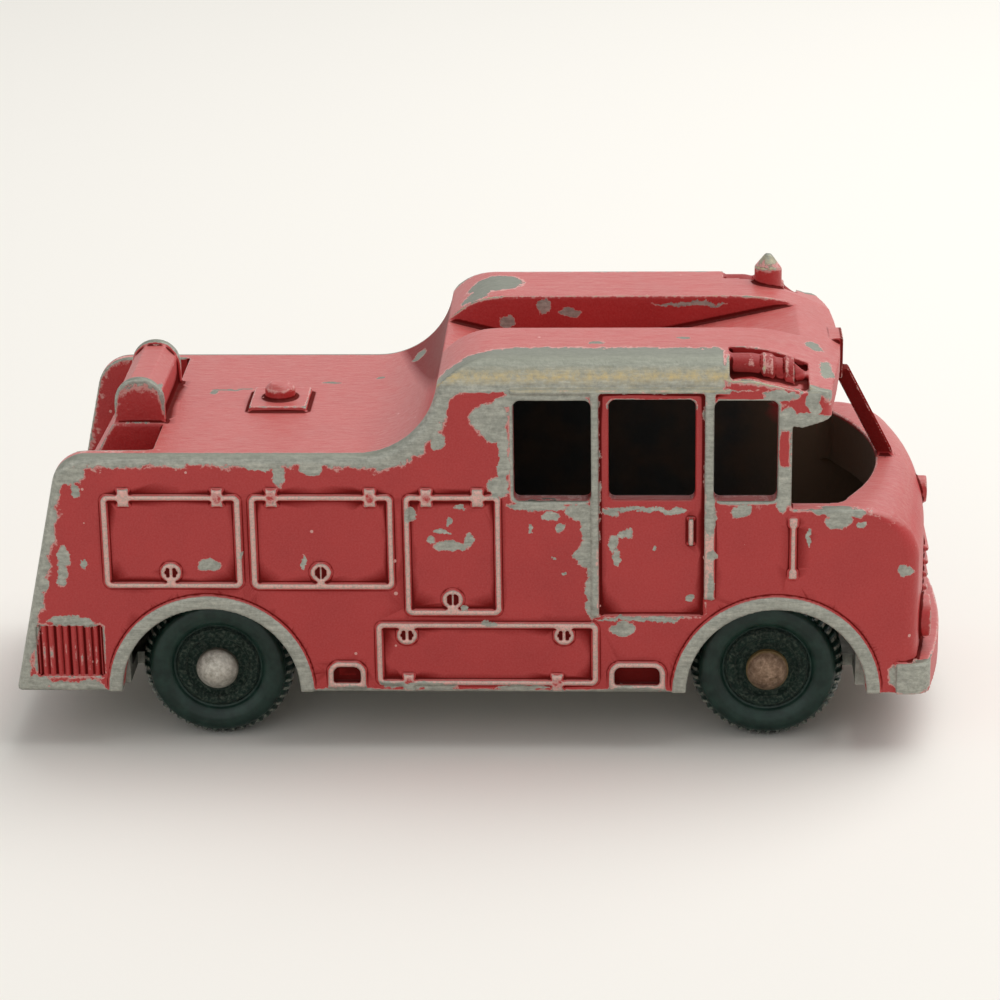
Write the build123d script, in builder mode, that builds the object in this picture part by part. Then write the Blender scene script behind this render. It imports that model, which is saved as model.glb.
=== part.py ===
from build123d import *
import os
from math import cos, radians, sin, sqrt, tan

# Toy fire engine: a one-piece hollow cast body on a riveted base plate, two axles and four
# moulded wheels. Millimetres, +X forward, +Y to the vehicle's left, +Z up. The origin is on
# the ground under the middle of the vehicle.

os.makedirs("parts", exist_ok=True)

# ---- Body: main form ----
half_width = 10.1  # flat side panels, from the centre plane
wall = 1.2
floor_height = 3.8  # lower edge of the body and underside of the base plate
tail_x = -28.7
tail_crown_x = -25.35  # where the leaning tail line would meet the deck
tail_crown_radius = 2.2
deck_height = 19.2
deck_end_x = -19.6
rail_round = 0.5
ramp_foot_x = -7.25
crease_x = -2.3
roof_start_x = 1.15
roof_height = 25.1
roof_round = 1.7
roof_drop_x = 16.15
channel_half_width = 3.25  # trough for a ladder along the roof
channel_rear_height = 23.5
channel_foot_x = 2.0  # foot of the short slope down from the ramp
channel_low_x = 9.6
channel_low_height = 22.4
channel_end_x = 19.9
channel_end_height = 24.6
ceiling_thickness = 0.8
side_ceiling_height = 22.8
screen_post_x = 18.9  # front edge of the last side pillar
seam = 0.4  # how far joined blocks run into each other

# ---- Body: nose, cowl and visor ----
nose_x = 27.55
nose_corner = 1.0
nose_crown = 0.8  # how far the front bulges forward of its corners
shoulder_height = 12.3
screen_sill_height = 15.8
sill_x = 25.3
sill_side_x = 22.0
sill_crown = 2.2
sill_rim = 0.75
cowl_sections = 4
visor_root_height = 21.3
visor_tip_x = 22.15
visor_tip_height = 22.35
visor_edge = 0.95  # depth of the visor's upright front edge
visor_side_x = 20.45
visor_crown = 0.9
screen_bar_width = 1.0
screen_bar_depth = 1.0
screen_bar_foot_reach = 0.6  # how far its foot stands out from the sill
screen_bar_top_reach = 0.4  # how far its top stands out from the headboard
headboard_length = 1.15
headboard_half_width = 1.1
headboard_height = 2.6
headboard_overhang = 0.2  # beyond the visor's tip
headboard_base_height = 21.1

# ---- Body: tail wells and the ladder rest between them ----
well_floor_height = 11.3
well_floor_thickness = 1.0
column_half_width = 4.25
column_back_x = -22.75
column_lean = 29.5  # degrees from upright
rest_x = -21.05
rest_width = 3.1
rest_height = 2.9
rest_half_span = 4.05
rest_flange = 0.5
rest_bar_inset = 0.2
rest_bar_drop = 0.3
rest_bar_facet = 0.75

# ---- Body: fittings on the deck and roof ----
pad_x = -12.75
pad_length = 3.6
pad_width = 3.9
pad_thickness = 0.35
knob_radius = 0.95
knob_height = 0.95
knob_bevel = 0.35
beacon_x = 17.95
beacon_y = 6.6
beacon_radius = 0.87
beacon_height = 1.9  # above the flat of the roof
beacon_cap = 0.9
beacon_tip_radius = 0.2
notch_x = 15.15
notch_length = 4.7
notch_half_span = 7.1  # from the centre plane to the notch's inner wall
notch_height = 23.9
nozzle_radius = 0.82
nozzle_length = 3.35  # barrel, behind the collar
nozzle_band_start = 2.0
nozzle_band_width = 0.6
nozzle_collar = 0.15
nozzle_collar_width = 0.5
nozzle_tip_length = 0.7
nozzle_tip_radius = 0.25
nozzle_gap = 0.25
nozzle_lift = 0.3

# ---- Side openings ----
window_sill = 16.3
window_top = 22.65
window_corner = 0.4
windows = [(2.25, 6.9), (7.95, 13.15), (14.25, 18.05)]  # rear and front edges
arch_radius = 5.5
arch_lip = 0.85
rear_arch_x = -16.55
front_arch_x = 18.15

# ---- Side relief ----
relief = 0.18
line_width = 0.3
panel_corner = 0.4
lockers = [(-22.75, -14.35, 10.7, 16.7), (-13.75, -5.1, 10.65, 16.7), (-4.4, 1.4, 8.95, 16.7)]
flap = (-6.25, 7.25, 4.3, 8.4)
locker_hinge_inset = 1.35
hinge_length = 0.65
hinge_leaf = 0.4
flap_hinges = [-4.35, 4.75]
lock_radius = 0.6
locker_locks = [(-18.7, 11.7), (-9.55, 11.7), (-1.55, 9.95)]
flap_locks = [(-4.4, 7.6), (5.2, 7.6)]
step_rims = [(-9.3, -7.0, 4.1, 5.8), (7.95, 11.35, 4.0, 5.8)]
step_corner = 0.75
step_rim_width = 0.32
step_depth = 0.4
door = (7.35, 13.7, 8.85, 23.2)
door_depth = 0.2
door_post_width = 0.45
door_strip = (13.7, 14.3, 10.0, 23.2)
door_handle = (12.75, 13.05, 13.5, 15.2)
grab_bar = (18.92, 19.18, 11.6, 15.0)
grab_foot = 0.5
gutter = (2.1, 15.15, 23.15, 23.4)
louvre = (-27.25, -23.15, 4.75, 8.15)
louvre_depth = 0.3
louvre_count = 9
louvre_rib = 0.28

# ---- Front relief ----
bumper_top = 5.8
bumper_reach = 1.15  # how far it stands out from the nose
bumper_end_x = 25.45
bumper_side = 0.2
bumper_crown = 1.1
lamp_y = 7.0
lamp_height = 7.7
lamp_radius = 1.3
lamp_rim = 0.25
lamp_reach = 0.1
grille_half_width = 4.6
grille_bottom = 6.8
grille_top = 11.1
grille_bars = 6
grille_bar_height = 0.3
grille_reach = 0.15
boss_radius = 0.85
boss_height = 13.4
boss_reach = 0.25

# ---- Base plate ----
plate_thickness = 0.8
plate_clearance = 0.1
plate_wheel_gap = 0.2  # between the plate and a wheel's inner face
bearing_length = 3.0
bearing_width = 1.6
bearing_bottom = 3.5
bearing_top = 6.3
axle_slot_clearance = 0.4
flange_height = 5.8
flange_thickness = 0.9
wheel_bay = 5.4  # half the length of the cut-out for each wheel
post_radius = 1.4
post_shank = 0.9
post_head = 1.3
post_clearance = 0.05
post_head_thickness = 0.35
rear_post_x = -24.6
front_post_x = 24.3
front_post_top = 11.5
front_post_web = 1.2  # thickness of the web that ties the front post to the nose

# ---- Axles and wheels ----
rear_axle_x = -16.35
front_axle_x = 17.65
wheel_radius = 4.7
axle_radius = 0.65
running_clearance = 0.05
head_radius = 1.3
head_rim = 0.35
head_dome = 0.8
end_play = 0.1
wheel_inset = 4.1  # wheel's inner face, from the flat of the body's side
wheel_width = 2.75
tyre_face_radius = 4.15
wheel_shoulder = 0.7  # how far the tread's edge stands back from the wheel's face
hub_radius = 2.68
hub_depth = 0.45
hub_step_radius = 1.95
hub_step = 0.22

# ---- Worked-out sizes ----
centre_ceiling_height = channel_low_height - ceiling_thickness
inner_half_width = half_width - wall
plate_top = floor_height + plate_thickness
low_ceiling = well_floor_height - well_floor_thickness
inner_nose_x = nose_x - wall
nose_side_x = nose_x - nose_crown - nose_corner
bumper_x = nose_x + bumper_reach
tail_slope = (tail_crown_x - tail_x) / (deck_height - floor_height)
ramp_run = crease_x - ramp_foot_x
ramp_rise = channel_rear_height - deck_height
ramp_radius = (ramp_run**2 + ramp_rise**2) / (2 * ramp_rise)
visor_brow = (visor_tip_x, visor_tip_height + visor_edge)
column_foot_x = column_back_x - (deck_height - well_floor_height) * tan(radians(column_lean))
headboard_x = visor_tip_x + headboard_overhang
bar_top_x = headboard_x + screen_bar_top_reach
bar_foot_x = sill_x + screen_bar_foot_reach
grab_x = (grab_bar[0] + grab_bar[1]) / 2
louvre_pitch = (louvre[1] - louvre[0]) / louvre_count
grille_pitch = (grille_top - grille_bottom) / (grille_bars - 1)
axle_height = wheel_radius
wheel_inner = half_width - wheel_inset
plate_wheel_half_width = wheel_inner - plate_wheel_gap
bearing_half_span = plate_wheel_half_width - bearing_width / 2
plate_tail_x = tail_x + wall + plate_thickness * tail_slope + plate_clearance
wheel_outer = wheel_inner + wheel_width
hub_floor = wheel_outer - hub_depth
head_base = hub_floor + end_play
arches = [rear_arch_x, front_arch_x]
axles = [rear_axle_x, front_axle_x]
posts = [(rear_post_x, 0), (front_post_x, 0)]
hinge_places = [(x, flap[2] + line_width / 2) for x in flap_hinges]
for locker in lockers:
    for hinge_x in (locker[0] + locker_hinge_inset, locker[1] - locker_hinge_inset):
        hinge_places.append((hinge_x, locker[3] - line_width / 2))

# The right-hand side panel: local X forward, local Y up, local Z outwards
side_plane = Plane(origin=(0, -half_width, 0), x_dir=(1, 0, 0), z_dir=(0, -1, 0))


def box_centre(box):
    """Middle of a rectangle given by its edges (x0, x1, y0, y1)."""
    return ((box[0] + box[1]) / 2, (box[2] + box[3]) / 2)


def plain_box(box, mode=Mode.ADD):
    """A rectangle given by its edges."""
    with Locations(box_centre(box)):
        Rectangle(box[1] - box[0], box[3] - box[2], mode=mode)


def round_box(box, radius, mode=Mode.ADD):
    """A rectangle given by its edges, with round corners."""
    with Locations(box_centre(box)):
        RectangleRounded(box[1] - box[0], box[3] - box[2], radius, mode=mode)


def step_box(box, radius, mode=Mode.ADD):
    """A footstep's outline: round upper corners over a square-cornered lower edge."""
    round_box(box, radius, mode)
    plain_box((box[0], box[1], box[2], box_centre(box)[1]), mode)


def inset(box, margin):
    """The same rectangle with each edge moved in by the margin."""
    return (box[0] + margin, box[1] - margin, box[2] + margin, box[3] - margin)


def front_outline(back_x, front_x, crown, side_x, half, mode=Mode.ADD):
    """Plan outline of the front: straight sides, round corners and a crowned front edge."""
    corner_x = front_x - crown
    corner_y = half - nose_corner
    with BuildLine() as outline:
        Polyline((side_x, half), (back_x, half), (back_x, -half), (side_x, -half))
        TangentArc((side_x, -half), (corner_x, -corner_y), tangent=(1, 0))
        ThreePointArc((corner_x, -corner_y), (front_x, 0), (corner_x, corner_y))
        TangentArc((side_x, half), (corner_x, corner_y), tangent=(1, 0))
    make_face(outline.edges(), mode=mode)


def outer_ramp_arc():
    """The ramp's concave top, level with the deck at its foot."""
    TangentArc((ramp_foot_x, deck_height), (crease_x, channel_rear_height), tangent=(1, 0))


def under_ramp(height):
    """Where the inside of the ramp, one wall below its top, reaches a height."""
    rise = height - (deck_height - wall)
    return ramp_foot_x + sqrt(rise * (2 * (ramp_radius + wall) - rise))


# ---- Raised work of one side ----
with BuildPart() as side_relief:
    with BuildSketch(side_plane) as raised_lines:
        for panel in lockers + [flap]:
            round_box(panel, panel_corner)
        for panel in lockers + [flap]:
            plain_box(inset(panel, line_width), Mode.SUBTRACT)
        with Locations(hinge_places):
            Rectangle(hinge_length, 2 * hinge_leaf + line_width)
        with Locations(locker_locks + flap_locks):
            Circle(lock_radius)
        for rim in step_rims:
            step_box(rim, step_corner)
            step_box(inset(rim, step_rim_width), step_corner - step_rim_width, Mode.SUBTRACT)
        for strip in (door_strip, gutter, door_handle, grab_bar):
            plain_box(strip)
        with Locations((grab_x, grab_bar[2]), (grab_x, grab_bar[3])):
            Rectangle(grab_foot, grab_foot)
        plain_box((door[0] - door_post_width, door[0], door[2], door[3]))
        with Locations([(x, floor_height) for x in arches]):
            Circle(arch_radius + arch_lip)
            Circle(arch_radius, mode=Mode.SUBTRACT)
        plain_box((tail_x, nose_x, floor_height - 2 * arch_radius, floor_height), Mode.SUBTRACT)
    extrude(amount=relief)
    extrude(raised_lines.sketch, amount=-seam)

# ---- Recesses of one side ----
with BuildPart() as side_recess:
    with BuildSketch(side_plane):
        plain_box(door)
    extrude(amount=-door_depth)
    with BuildSketch(side_plane):
        for rim in step_rims:
            step_box(inset(rim, step_rim_width), step_corner - step_rim_width)
    extrude(amount=-step_depth)
    with BuildSketch(side_plane):
        plain_box(louvre)
        with Locations(box_centre(louvre)):
            with GridLocations(louvre_pitch, 0, louvre_count - 1, 1):
                Rectangle(louvre_rib, louvre[3] - louvre[2], mode=Mode.SUBTRACT)
    extrude(amount=-louvre_depth)

# ---- Hose nozzle lying in the notch of the right-hand roof edge ----
nozzle_y = -(notch_half_span + nozzle_gap + nozzle_radius)
nozzle_start = (notch_x, nozzle_y, notch_height + nozzle_lift)
with BuildPart() as nozzle:
    with BuildSketch(Plane(origin=nozzle_start, x_dir=(1, 0, 0), z_dir=(0, -1, 0))):
        with BuildLine() as outline:
            band_end = nozzle_band_start + nozzle_band_width
            collar_end = nozzle_length + nozzle_collar_width
            Polyline(
                (-seam, 0),
                (-seam, nozzle_radius),
                (nozzle_band_start, nozzle_radius),
                (nozzle_band_start, nozzle_radius + nozzle_collar),
                (band_end, nozzle_radius + nozzle_collar),
                (band_end, nozzle_radius),
                (nozzle_length, nozzle_radius),
                (nozzle_length, nozzle_radius + nozzle_collar),
                (collar_end, nozzle_radius + nozzle_collar),
                (collar_end, nozzle_radius - nozzle_collar),
                (collar_end + nozzle_tip_length, nozzle_tip_radius),
                (collar_end + nozzle_tip_length, 0),
                close=True,
            )
        make_face(outline.edges())
    revolve(axis=Axis(nozzle_start, (1, 0, 0)))

# ---- Body casting ----
with BuildPart() as body:
    # Tail, deck, ramp, cab roof and visor: one profile right across
    with BuildSketch(Plane.XZ) as profile:
        with BuildLine():
            Polyline(
                visor_brow,
                (visor_tip_x, visor_tip_height),
                (screen_post_x, visor_root_height),
                (screen_post_x, floor_height),
                (tail_x, floor_height),
                (tail_crown_x, deck_height),
                (ramp_foot_x, deck_height),
            )
            outer_ramp_arc()
            TangentArc((roof_start_x, roof_height), (crease_x, channel_rear_height), tangent=(-1, 0))
            Line((roof_start_x, roof_height), (roof_drop_x, roof_height))
            TangentArc((roof_drop_x, roof_height), visor_brow, tangent=(1, 0))
        make_face()
        tail_corner = profile.vertices().sort_by_distance((tail_crown_x, deck_height))[0]
        fillet(tail_corner, tail_crown_radius)
    extrude(amount=half_width, both=True)
    side_edges = body.edges().filter_by(lambda edge: abs(abs(edge.center().Y) - half_width) < seam)
    rails = side_edges.filter_by(lambda edge: edge.center().X < crease_x and edge.center().Z > plate_top)
    fillet(rails, rail_round)
    # Visor with its corners rounded in plan
    with BuildSketch(Plane.XY.offset(screen_sill_height)):
        plain_box((visor_side_x, nose_x, -half_width - seam, half_width + seam))
        front_outline(roof_drop_x, visor_tip_x, visor_crown, visor_side_x, half_width, Mode.SUBTRACT)
    extrude(amount=roof_height - screen_sill_height, mode=Mode.SUBTRACT)
    # Nose up to the shoulder, then the cowl sweeping back to the windscreen sill
    with BuildSketch(Plane.XY.offset(floor_height)):
        front_outline(screen_post_x, nose_x, nose_crown, nose_side_x, half_width)
    extrude(amount=shoulder_height - floor_height)
    for index in range(cowl_sections):
        turn = radians(90 * index / (cowl_sections - 1))
        section_height = shoulder_height + (screen_sill_height - shoulder_height) * sin(turn)
        with BuildSketch(Plane.XY.offset(section_height)):
            front_outline(
                screen_post_x,
                sill_x + (nose_x - sill_x) * cos(turn),
                sill_crown + (nose_crown - sill_crown) * cos(turn),
                sill_side_x + (nose_side_x - sill_side_x) * cos(turn),
                half_width,
            )
    loft()
    # Roof edges rounded from end to end
    with BuildSketch(Plane.YZ.offset(tail_x)) as section:
        plain_box((-half_width, half_width, floor_height, roof_height))
        fillet(section.vertices().group_by(Axis.Y)[-1], roof_round)
    extrude(amount=nose_x - tail_x, mode=Mode.INTERSECT)
    # Bumper wrapped round the foot of the nose
    with BuildSketch(Plane.XY.offset(floor_height)):
        front_outline(
            bumper_end_x,
            bumper_x,
            bumper_crown,
            bumper_x - bumper_crown - nose_corner,
            half_width + bumper_side,
        )
    extrude(amount=bumper_top - floor_height)
    # Hollow inside, open below
    with BuildSketch(Plane.XZ):
        with BuildLine():
            Polyline(
                (under_ramp(centre_ceiling_height), centre_ceiling_height),
                (screen_post_x, centre_ceiling_height),
                (screen_post_x, floor_height - wall),
                (tail_x + wall - wall * tail_slope, floor_height - wall),
                (tail_x + wall + (low_ceiling - floor_height) * tail_slope, low_ceiling),
                (deck_end_x + wall, low_ceiling),
                (deck_end_x + wall, deck_height - wall),
                (ramp_foot_x, deck_height - wall),
            )
            TangentArc(
                (ramp_foot_x, deck_height - wall),
                (under_ramp(centre_ceiling_height), centre_ceiling_height),
                tangent=(1, 0),
            )
        make_face()
    extrude(amount=inner_half_width, both=True, mode=Mode.SUBTRACT)
    with BuildSketch(Plane.XY.offset(centre_ceiling_height - seam)):
        channel_wall = channel_half_width + ceiling_thickness
        plain_box((under_ramp(side_ceiling_height), screen_post_x, channel_wall, inner_half_width))
        plain_box((under_ramp(side_ceiling_height), screen_post_x, -inner_half_width, -channel_wall))
    extrude(amount=side_ceiling_height - centre_ceiling_height + seam, mode=Mode.SUBTRACT)
    with BuildSketch(Plane.XY.offset(floor_height - wall)):
        inner_side_x = inner_nose_x - nose_crown - nose_corner
        front_outline(screen_post_x - seam, inner_nose_x, nose_crown, inner_side_x, inner_half_width)
    extrude(amount=shoulder_height - floor_height + wall, mode=Mode.SUBTRACT)
    with BuildSketch(Plane.XY.offset(shoulder_height - seam)):
        rim_side_x = sill_side_x - sill_rim
        front_outline(screen_post_x - seam, sill_x - sill_rim, sill_crown, rim_side_x, inner_half_width)
    extrude(amount=screen_sill_height - shoulder_height + 2 * seam, mode=Mode.SUBTRACT)
    # Trough for a ladder, running out at the ramp and at the front of the roof
    with BuildSketch(Plane.XZ):
        with BuildLine():
            Polyline(
                (crease_x, channel_rear_height),
                (channel_foot_x, channel_low_height),
                (channel_low_x, channel_low_height),
                (channel_end_x, channel_end_height),
                (channel_end_x, roof_height + wall),
                (crease_x, roof_height + wall),
                close=True,
            )
        make_face()
    extrude(amount=channel_half_width, both=True, mode=Mode.SUBTRACT)
    # Tail wells either side of the column, open above and behind
    with BuildSketch(Plane.XY.offset(well_floor_height)):
        plain_box((tail_x - wall, deck_end_x, column_half_width, inner_half_width))
        plain_box((tail_x - wall, deck_end_x, -inner_half_width, -column_half_width))
    extrude(amount=deck_height - well_floor_height + wall, mode=Mode.SUBTRACT)
    with BuildSketch(Plane.XZ):
        with BuildLine():
            Polyline(
                (column_foot_x, well_floor_height),
                (column_back_x, deck_height),
                (column_back_x, deck_height + wall),
                (tail_x - wall, deck_height + wall),
                (tail_x - wall, well_floor_height),
                close=True,
            )
        make_face()
    extrude(amount=inner_half_width, both=True, mode=Mode.SUBTRACT)
    # Sides: recesses, then raised work, then the openings through both
    add(side_recess.part, mode=Mode.SUBTRACT)
    mirror(side_recess.part, about=Plane.XZ, mode=Mode.SUBTRACT)
    add(side_relief.part)
    mirror(side_relief.part, about=Plane.XZ)
    with BuildSketch(Plane.XZ):
        for rear_edge, front_edge in windows:
            round_box((rear_edge, front_edge, window_sill, window_top), window_corner)
        with Locations([(x, floor_height) for x in arches]):
            Circle(arch_radius)
    extrude(amount=half_width + wall, both=True, mode=Mode.SUBTRACT)
    # Notches in the roof edges, each with a hose nozzle lying in it
    with BuildSketch(Plane.XY.offset(notch_height)):
        plain_box((notch_x, notch_x + notch_length, notch_half_span, half_width + wall))
        plain_box((notch_x, notch_x + notch_length, -half_width - wall, -notch_half_span))
    extrude(amount=roof_height, mode=Mode.SUBTRACT)
    add(nozzle.part)
    mirror(nozzle.part, about=Plane.XZ)
    # Headboard on the visor and the windscreen bar below it
    with BuildSketch(Plane.XY.offset(headboard_base_height)):
        plain_box((headboard_x - headboard_length, headboard_x, -headboard_half_width, headboard_half_width))
    extrude(amount=headboard_height)
    with BuildSketch(Plane.XZ):
        with BuildLine():
            Polyline(
                (bar_foot_x - screen_bar_depth, screen_sill_height - seam),
                (bar_foot_x, screen_sill_height - seam),
                (bar_top_x, headboard_base_height + seam),
                (bar_top_x - screen_bar_depth, headboard_base_height + seam),
                close=True,
            )
        make_face()
    extrude(amount=screen_bar_width / 2, both=True)
    # Ladder rest on the column: a round-headed lug at each end of a faceted bar
    lug_round = rest_width / 2
    lug_centre_height = deck_height + rest_height - lug_round
    for lug_y in (rest_half_span, rest_flange - rest_half_span):
        with BuildSketch(Plane.XZ.offset(-lug_y)):
            plain_box((rest_x - lug_round, rest_x + lug_round, deck_height - seam, lug_centre_height))
            with Locations((rest_x, lug_centre_height)):
                Circle(lug_round)
        extrude(amount=rest_flange)
    with BuildSketch(Plane.XZ) as bar:
        bar_half = lug_round - rest_bar_inset
        bar_top = deck_height + rest_height - rest_bar_drop
        plain_box((rest_x - bar_half, rest_x + bar_half, deck_height - seam, bar_top))
        chamfer(bar.vertices().group_by(Axis.Y)[-1], rest_bar_facet)
    extrude(amount=rest_half_span - rest_flange / 2, both=True)
    # Pad and knob on the deck
    with BuildSketch(Plane.XY.offset(deck_height - seam)):
        with Locations((pad_x, 0)):
            Rectangle(pad_length, pad_width)
    extrude(amount=seam + pad_thickness)
    with BuildSketch(Plane.XY.offset(deck_height)):
        with Locations((pad_x, 0)):
            Circle(knob_radius)
    extrude(amount=pad_thickness + knob_height)
    knob_top = (pad_x, 0, deck_height + pad_thickness + knob_height)
    chamfer(body.edges().filter_by(GeomType.CIRCLE).sort_by_distance(knob_top)[0], knob_bevel)
    # Beacon on the left of the roof
    with BuildSketch(Plane(origin=(beacon_x, beacon_y, roof_height), x_dir=(1, 0, 0), z_dir=(0, -1, 0))):
        with BuildLine() as outline:
            Polyline(
                (0, -2 * seam),
                (beacon_radius, -2 * seam),
                (beacon_radius, beacon_height - beacon_cap),
                (beacon_tip_radius, beacon_height),
                (0, beacon_height),
                close=True,
            )
        make_face(outline.edges())
    revolve(axis=Axis((beacon_x, beacon_y, roof_height), (0, 0, 1)))
    # Front: lamps with sunken lenses, grille bars and a bare round boss
    with BuildSketch(Plane.YZ.offset(nose_x + lamp_reach)):
        with Locations((-lamp_y, lamp_height), (lamp_y, lamp_height)):
            Circle(lamp_radius)
    extrude(amount=-lamp_reach - nose_crown - seam)
    with BuildSketch(Plane.YZ.offset(nose_x + lamp_reach)):
        with Locations((-lamp_y, lamp_height), (lamp_y, lamp_height)):
            Circle(lamp_radius - lamp_rim)
    extrude(amount=-lamp_rim, mode=Mode.SUBTRACT)
    with BuildSketch(Plane.YZ.offset(nose_x + grille_reach)):
        with Locations((0, (grille_bottom + grille_top) / 2)):
            with GridLocations(0, grille_pitch, 1, grille_bars):
                Rectangle(2 * grille_half_width, grille_bar_height)
    extrude(amount=-grille_reach - nose_crown - seam)
    with BuildSketch(Plane.YZ.offset(nose_x + boss_reach)):
        with Locations((0, boss_height)):
            Circle(boss_radius)
    extrude(amount=-boss_reach - wall)
    # Posts that carry the base plate, each with a shank whose end is spun over below
    with BuildSketch(Plane.XY.offset(plate_top)):
        with Locations((rear_post_x, 0)):
            Circle(post_radius)
    extrude(amount=low_ceiling - plate_top + seam)
    with BuildSketch(Plane.XY.offset(plate_top)):
        with Locations((front_post_x, 0)):
            Circle(post_radius)
        plain_box((front_post_x, inner_nose_x + seam, -front_post_web / 2, front_post_web / 2))
    extrude(amount=front_post_top - plate_top)
    with BuildSketch(Plane.XY.offset(floor_height)):
        with Locations(posts):
            Circle(post_shank)
    extrude(amount=plate_thickness)
    with BuildSketch(Plane.XY.offset(floor_height)):
        with Locations(posts):
            Circle(post_head)
    extrude(amount=post_head_thickness)
body.part.label = "body"
export_step(body.part, "parts/body.step")

# ---- Base plate ----
with BuildPart() as base_plate:
    plate_half_width = inner_half_width - plate_clearance
    plate_front_x = inner_nose_x - plate_clearance
    with BuildSketch(Plane.XY.offset(floor_height)) as plate_plan:
        plate_side_x = plate_front_x - nose_crown - nose_corner
        front_outline(plate_tail_x, plate_front_x, nose_crown, plate_side_x, plate_half_width)
        for axle_x in axles:
            bay = (axle_x - wheel_bay, axle_x + wheel_bay)
            plain_box((*bay, plate_wheel_half_width, half_width), Mode.SUBTRACT)
            plain_box((*bay, -half_width, -plate_wheel_half_width), Mode.SUBTRACT)
    extrude(amount=plate_thickness)
    # Upturned edges ahead of the front wheels and behind the rear wheels
    with BuildSketch(Plane.XY.offset(floor_height)):
        for side_y in (plate_half_width - flange_thickness, -plate_half_width):
            strip = (side_y, side_y + flange_thickness)
            plain_box((front_axle_x + wheel_bay, plate_front_x - 2 * nose_corner, *strip))
            plain_box((plate_tail_x + plate_clearance, rear_axle_x - wheel_bay, *strip))
    extrude(amount=flange_height - floor_height)
    # Slots that clear the axles, with a bored lug at each end
    with BuildSketch(Plane.XY.offset(floor_height)):
        with Locations((rear_axle_x, 0), (front_axle_x, 0)):
            Rectangle(2 * (axle_radius + axle_slot_clearance), 2 * plate_wheel_half_width)
    extrude(amount=plate_thickness, mode=Mode.SUBTRACT)
    with BuildSketch(Plane.XY.offset(bearing_bottom)):
        for axle_x in axles:
            with Locations((axle_x, bearing_half_span), (axle_x, -bearing_half_span)):
                Rectangle(bearing_length, bearing_width)
    extrude(amount=bearing_top - bearing_bottom)
    with BuildSketch(Plane.XZ):
        with Locations((rear_axle_x, axle_height), (front_axle_x, axle_height)):
            Circle(axle_radius + running_clearance)
    extrude(amount=half_width, both=True, mode=Mode.SUBTRACT)
    # Holes for the posts, counterbored for their spun ends
    with Locations(Plane(origin=(0, 0, floor_height), x_dir=(1, 0, 0), z_dir=(0, 0, -1))):
        with Locations(posts):
            CounterBoreHole(post_shank + post_clearance, post_head + post_clearance, post_head_thickness)
base_plate.part.label = "base_plate"
export_step(base_plate.part, "parts/base_plate.step")

# ---- Axles: plain pins with a domed head outside each wheel ----
for name, axle_x in (("rear_axle", rear_axle_x), ("front_axle", front_axle_x)):
    with BuildPart() as axle:
        with BuildSketch(Plane(origin=(axle_x, 0, axle_height), x_dir=(0, 1, 0), z_dir=(1, 0, 0))):
            with BuildLine() as outline:
                head_edge = head_base + head_rim
                Polyline(
                    (0, 0),
                    (0, axle_radius),
                    (head_base, axle_radius),
                    (head_base, head_radius),
                    (head_edge, head_radius),
                )
                dome_sphere = (head_radius**2 + head_dome**2) / (2 * head_dome)
                RadiusArc((head_edge, head_radius), (head_edge + head_dome, 0), dome_sphere)
                Line((head_edge + head_dome, 0), (0, 0))
            make_face(outline.edges())
        revolve(axis=Axis((axle_x, 0, axle_height), (0, 1, 0)))
        mirror(about=Plane.XZ)
    axle.part.label = name
    export_step(axle.part, f"parts/{name}.step")

# ---- Wheels: one moulding each, dished for its axle's head ----
wheel_places = [
    ("wheel_front_right", front_axle_x, -1),
    ("wheel_front_left", front_axle_x, 1),
    ("wheel_rear_right", rear_axle_x, -1),
    ("wheel_rear_left", rear_axle_x, 1),
]
for name, axle_x, side in wheel_places:
    with BuildPart() as wheel:
        with BuildSketch(Plane(origin=(axle_x, 0, axle_height), x_dir=(0, side, 0), z_dir=(side, 0, 0))):
            with BuildLine() as outline:
                bore_radius = axle_radius + running_clearance
                shoulder_y = wheel_outer - wheel_shoulder
                Polyline(
                    (wheel_inner, bore_radius),
                    (wheel_inner, wheel_radius),
                    (shoulder_y, wheel_radius),
                    (wheel_outer, tyre_face_radius),
                    (wheel_outer, hub_radius),
                    (hub_floor + hub_step, hub_radius),
                    (hub_floor + hub_step, hub_step_radius),
                    (hub_floor, hub_step_radius),
                    (hub_floor, bore_radius),
                    close=True,
                )
            make_face(outline.edges())
        revolve(axis=Axis((axle_x, 0, axle_height), (0, 1, 0)))
    wheel.part.label = name
    export_step(wheel.part, f"parts/{name}.step")
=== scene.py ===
import bmesh
import bpy
import numpy as np
from mathutils import Matrix, Vector


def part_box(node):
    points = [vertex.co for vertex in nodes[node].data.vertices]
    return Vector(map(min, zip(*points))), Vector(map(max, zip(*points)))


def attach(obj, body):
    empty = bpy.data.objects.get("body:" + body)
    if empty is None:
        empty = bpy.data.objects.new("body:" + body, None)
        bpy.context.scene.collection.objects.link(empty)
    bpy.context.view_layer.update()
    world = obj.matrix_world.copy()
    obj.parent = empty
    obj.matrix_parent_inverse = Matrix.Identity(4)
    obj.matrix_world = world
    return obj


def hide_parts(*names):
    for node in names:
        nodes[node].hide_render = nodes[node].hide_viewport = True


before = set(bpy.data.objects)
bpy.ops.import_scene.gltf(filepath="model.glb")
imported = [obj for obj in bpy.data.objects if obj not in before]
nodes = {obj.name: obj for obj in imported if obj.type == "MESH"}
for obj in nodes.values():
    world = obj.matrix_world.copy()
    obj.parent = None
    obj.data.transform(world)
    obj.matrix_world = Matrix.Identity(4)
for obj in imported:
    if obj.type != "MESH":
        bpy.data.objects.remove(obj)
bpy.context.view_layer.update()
MM = 0.001


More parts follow.
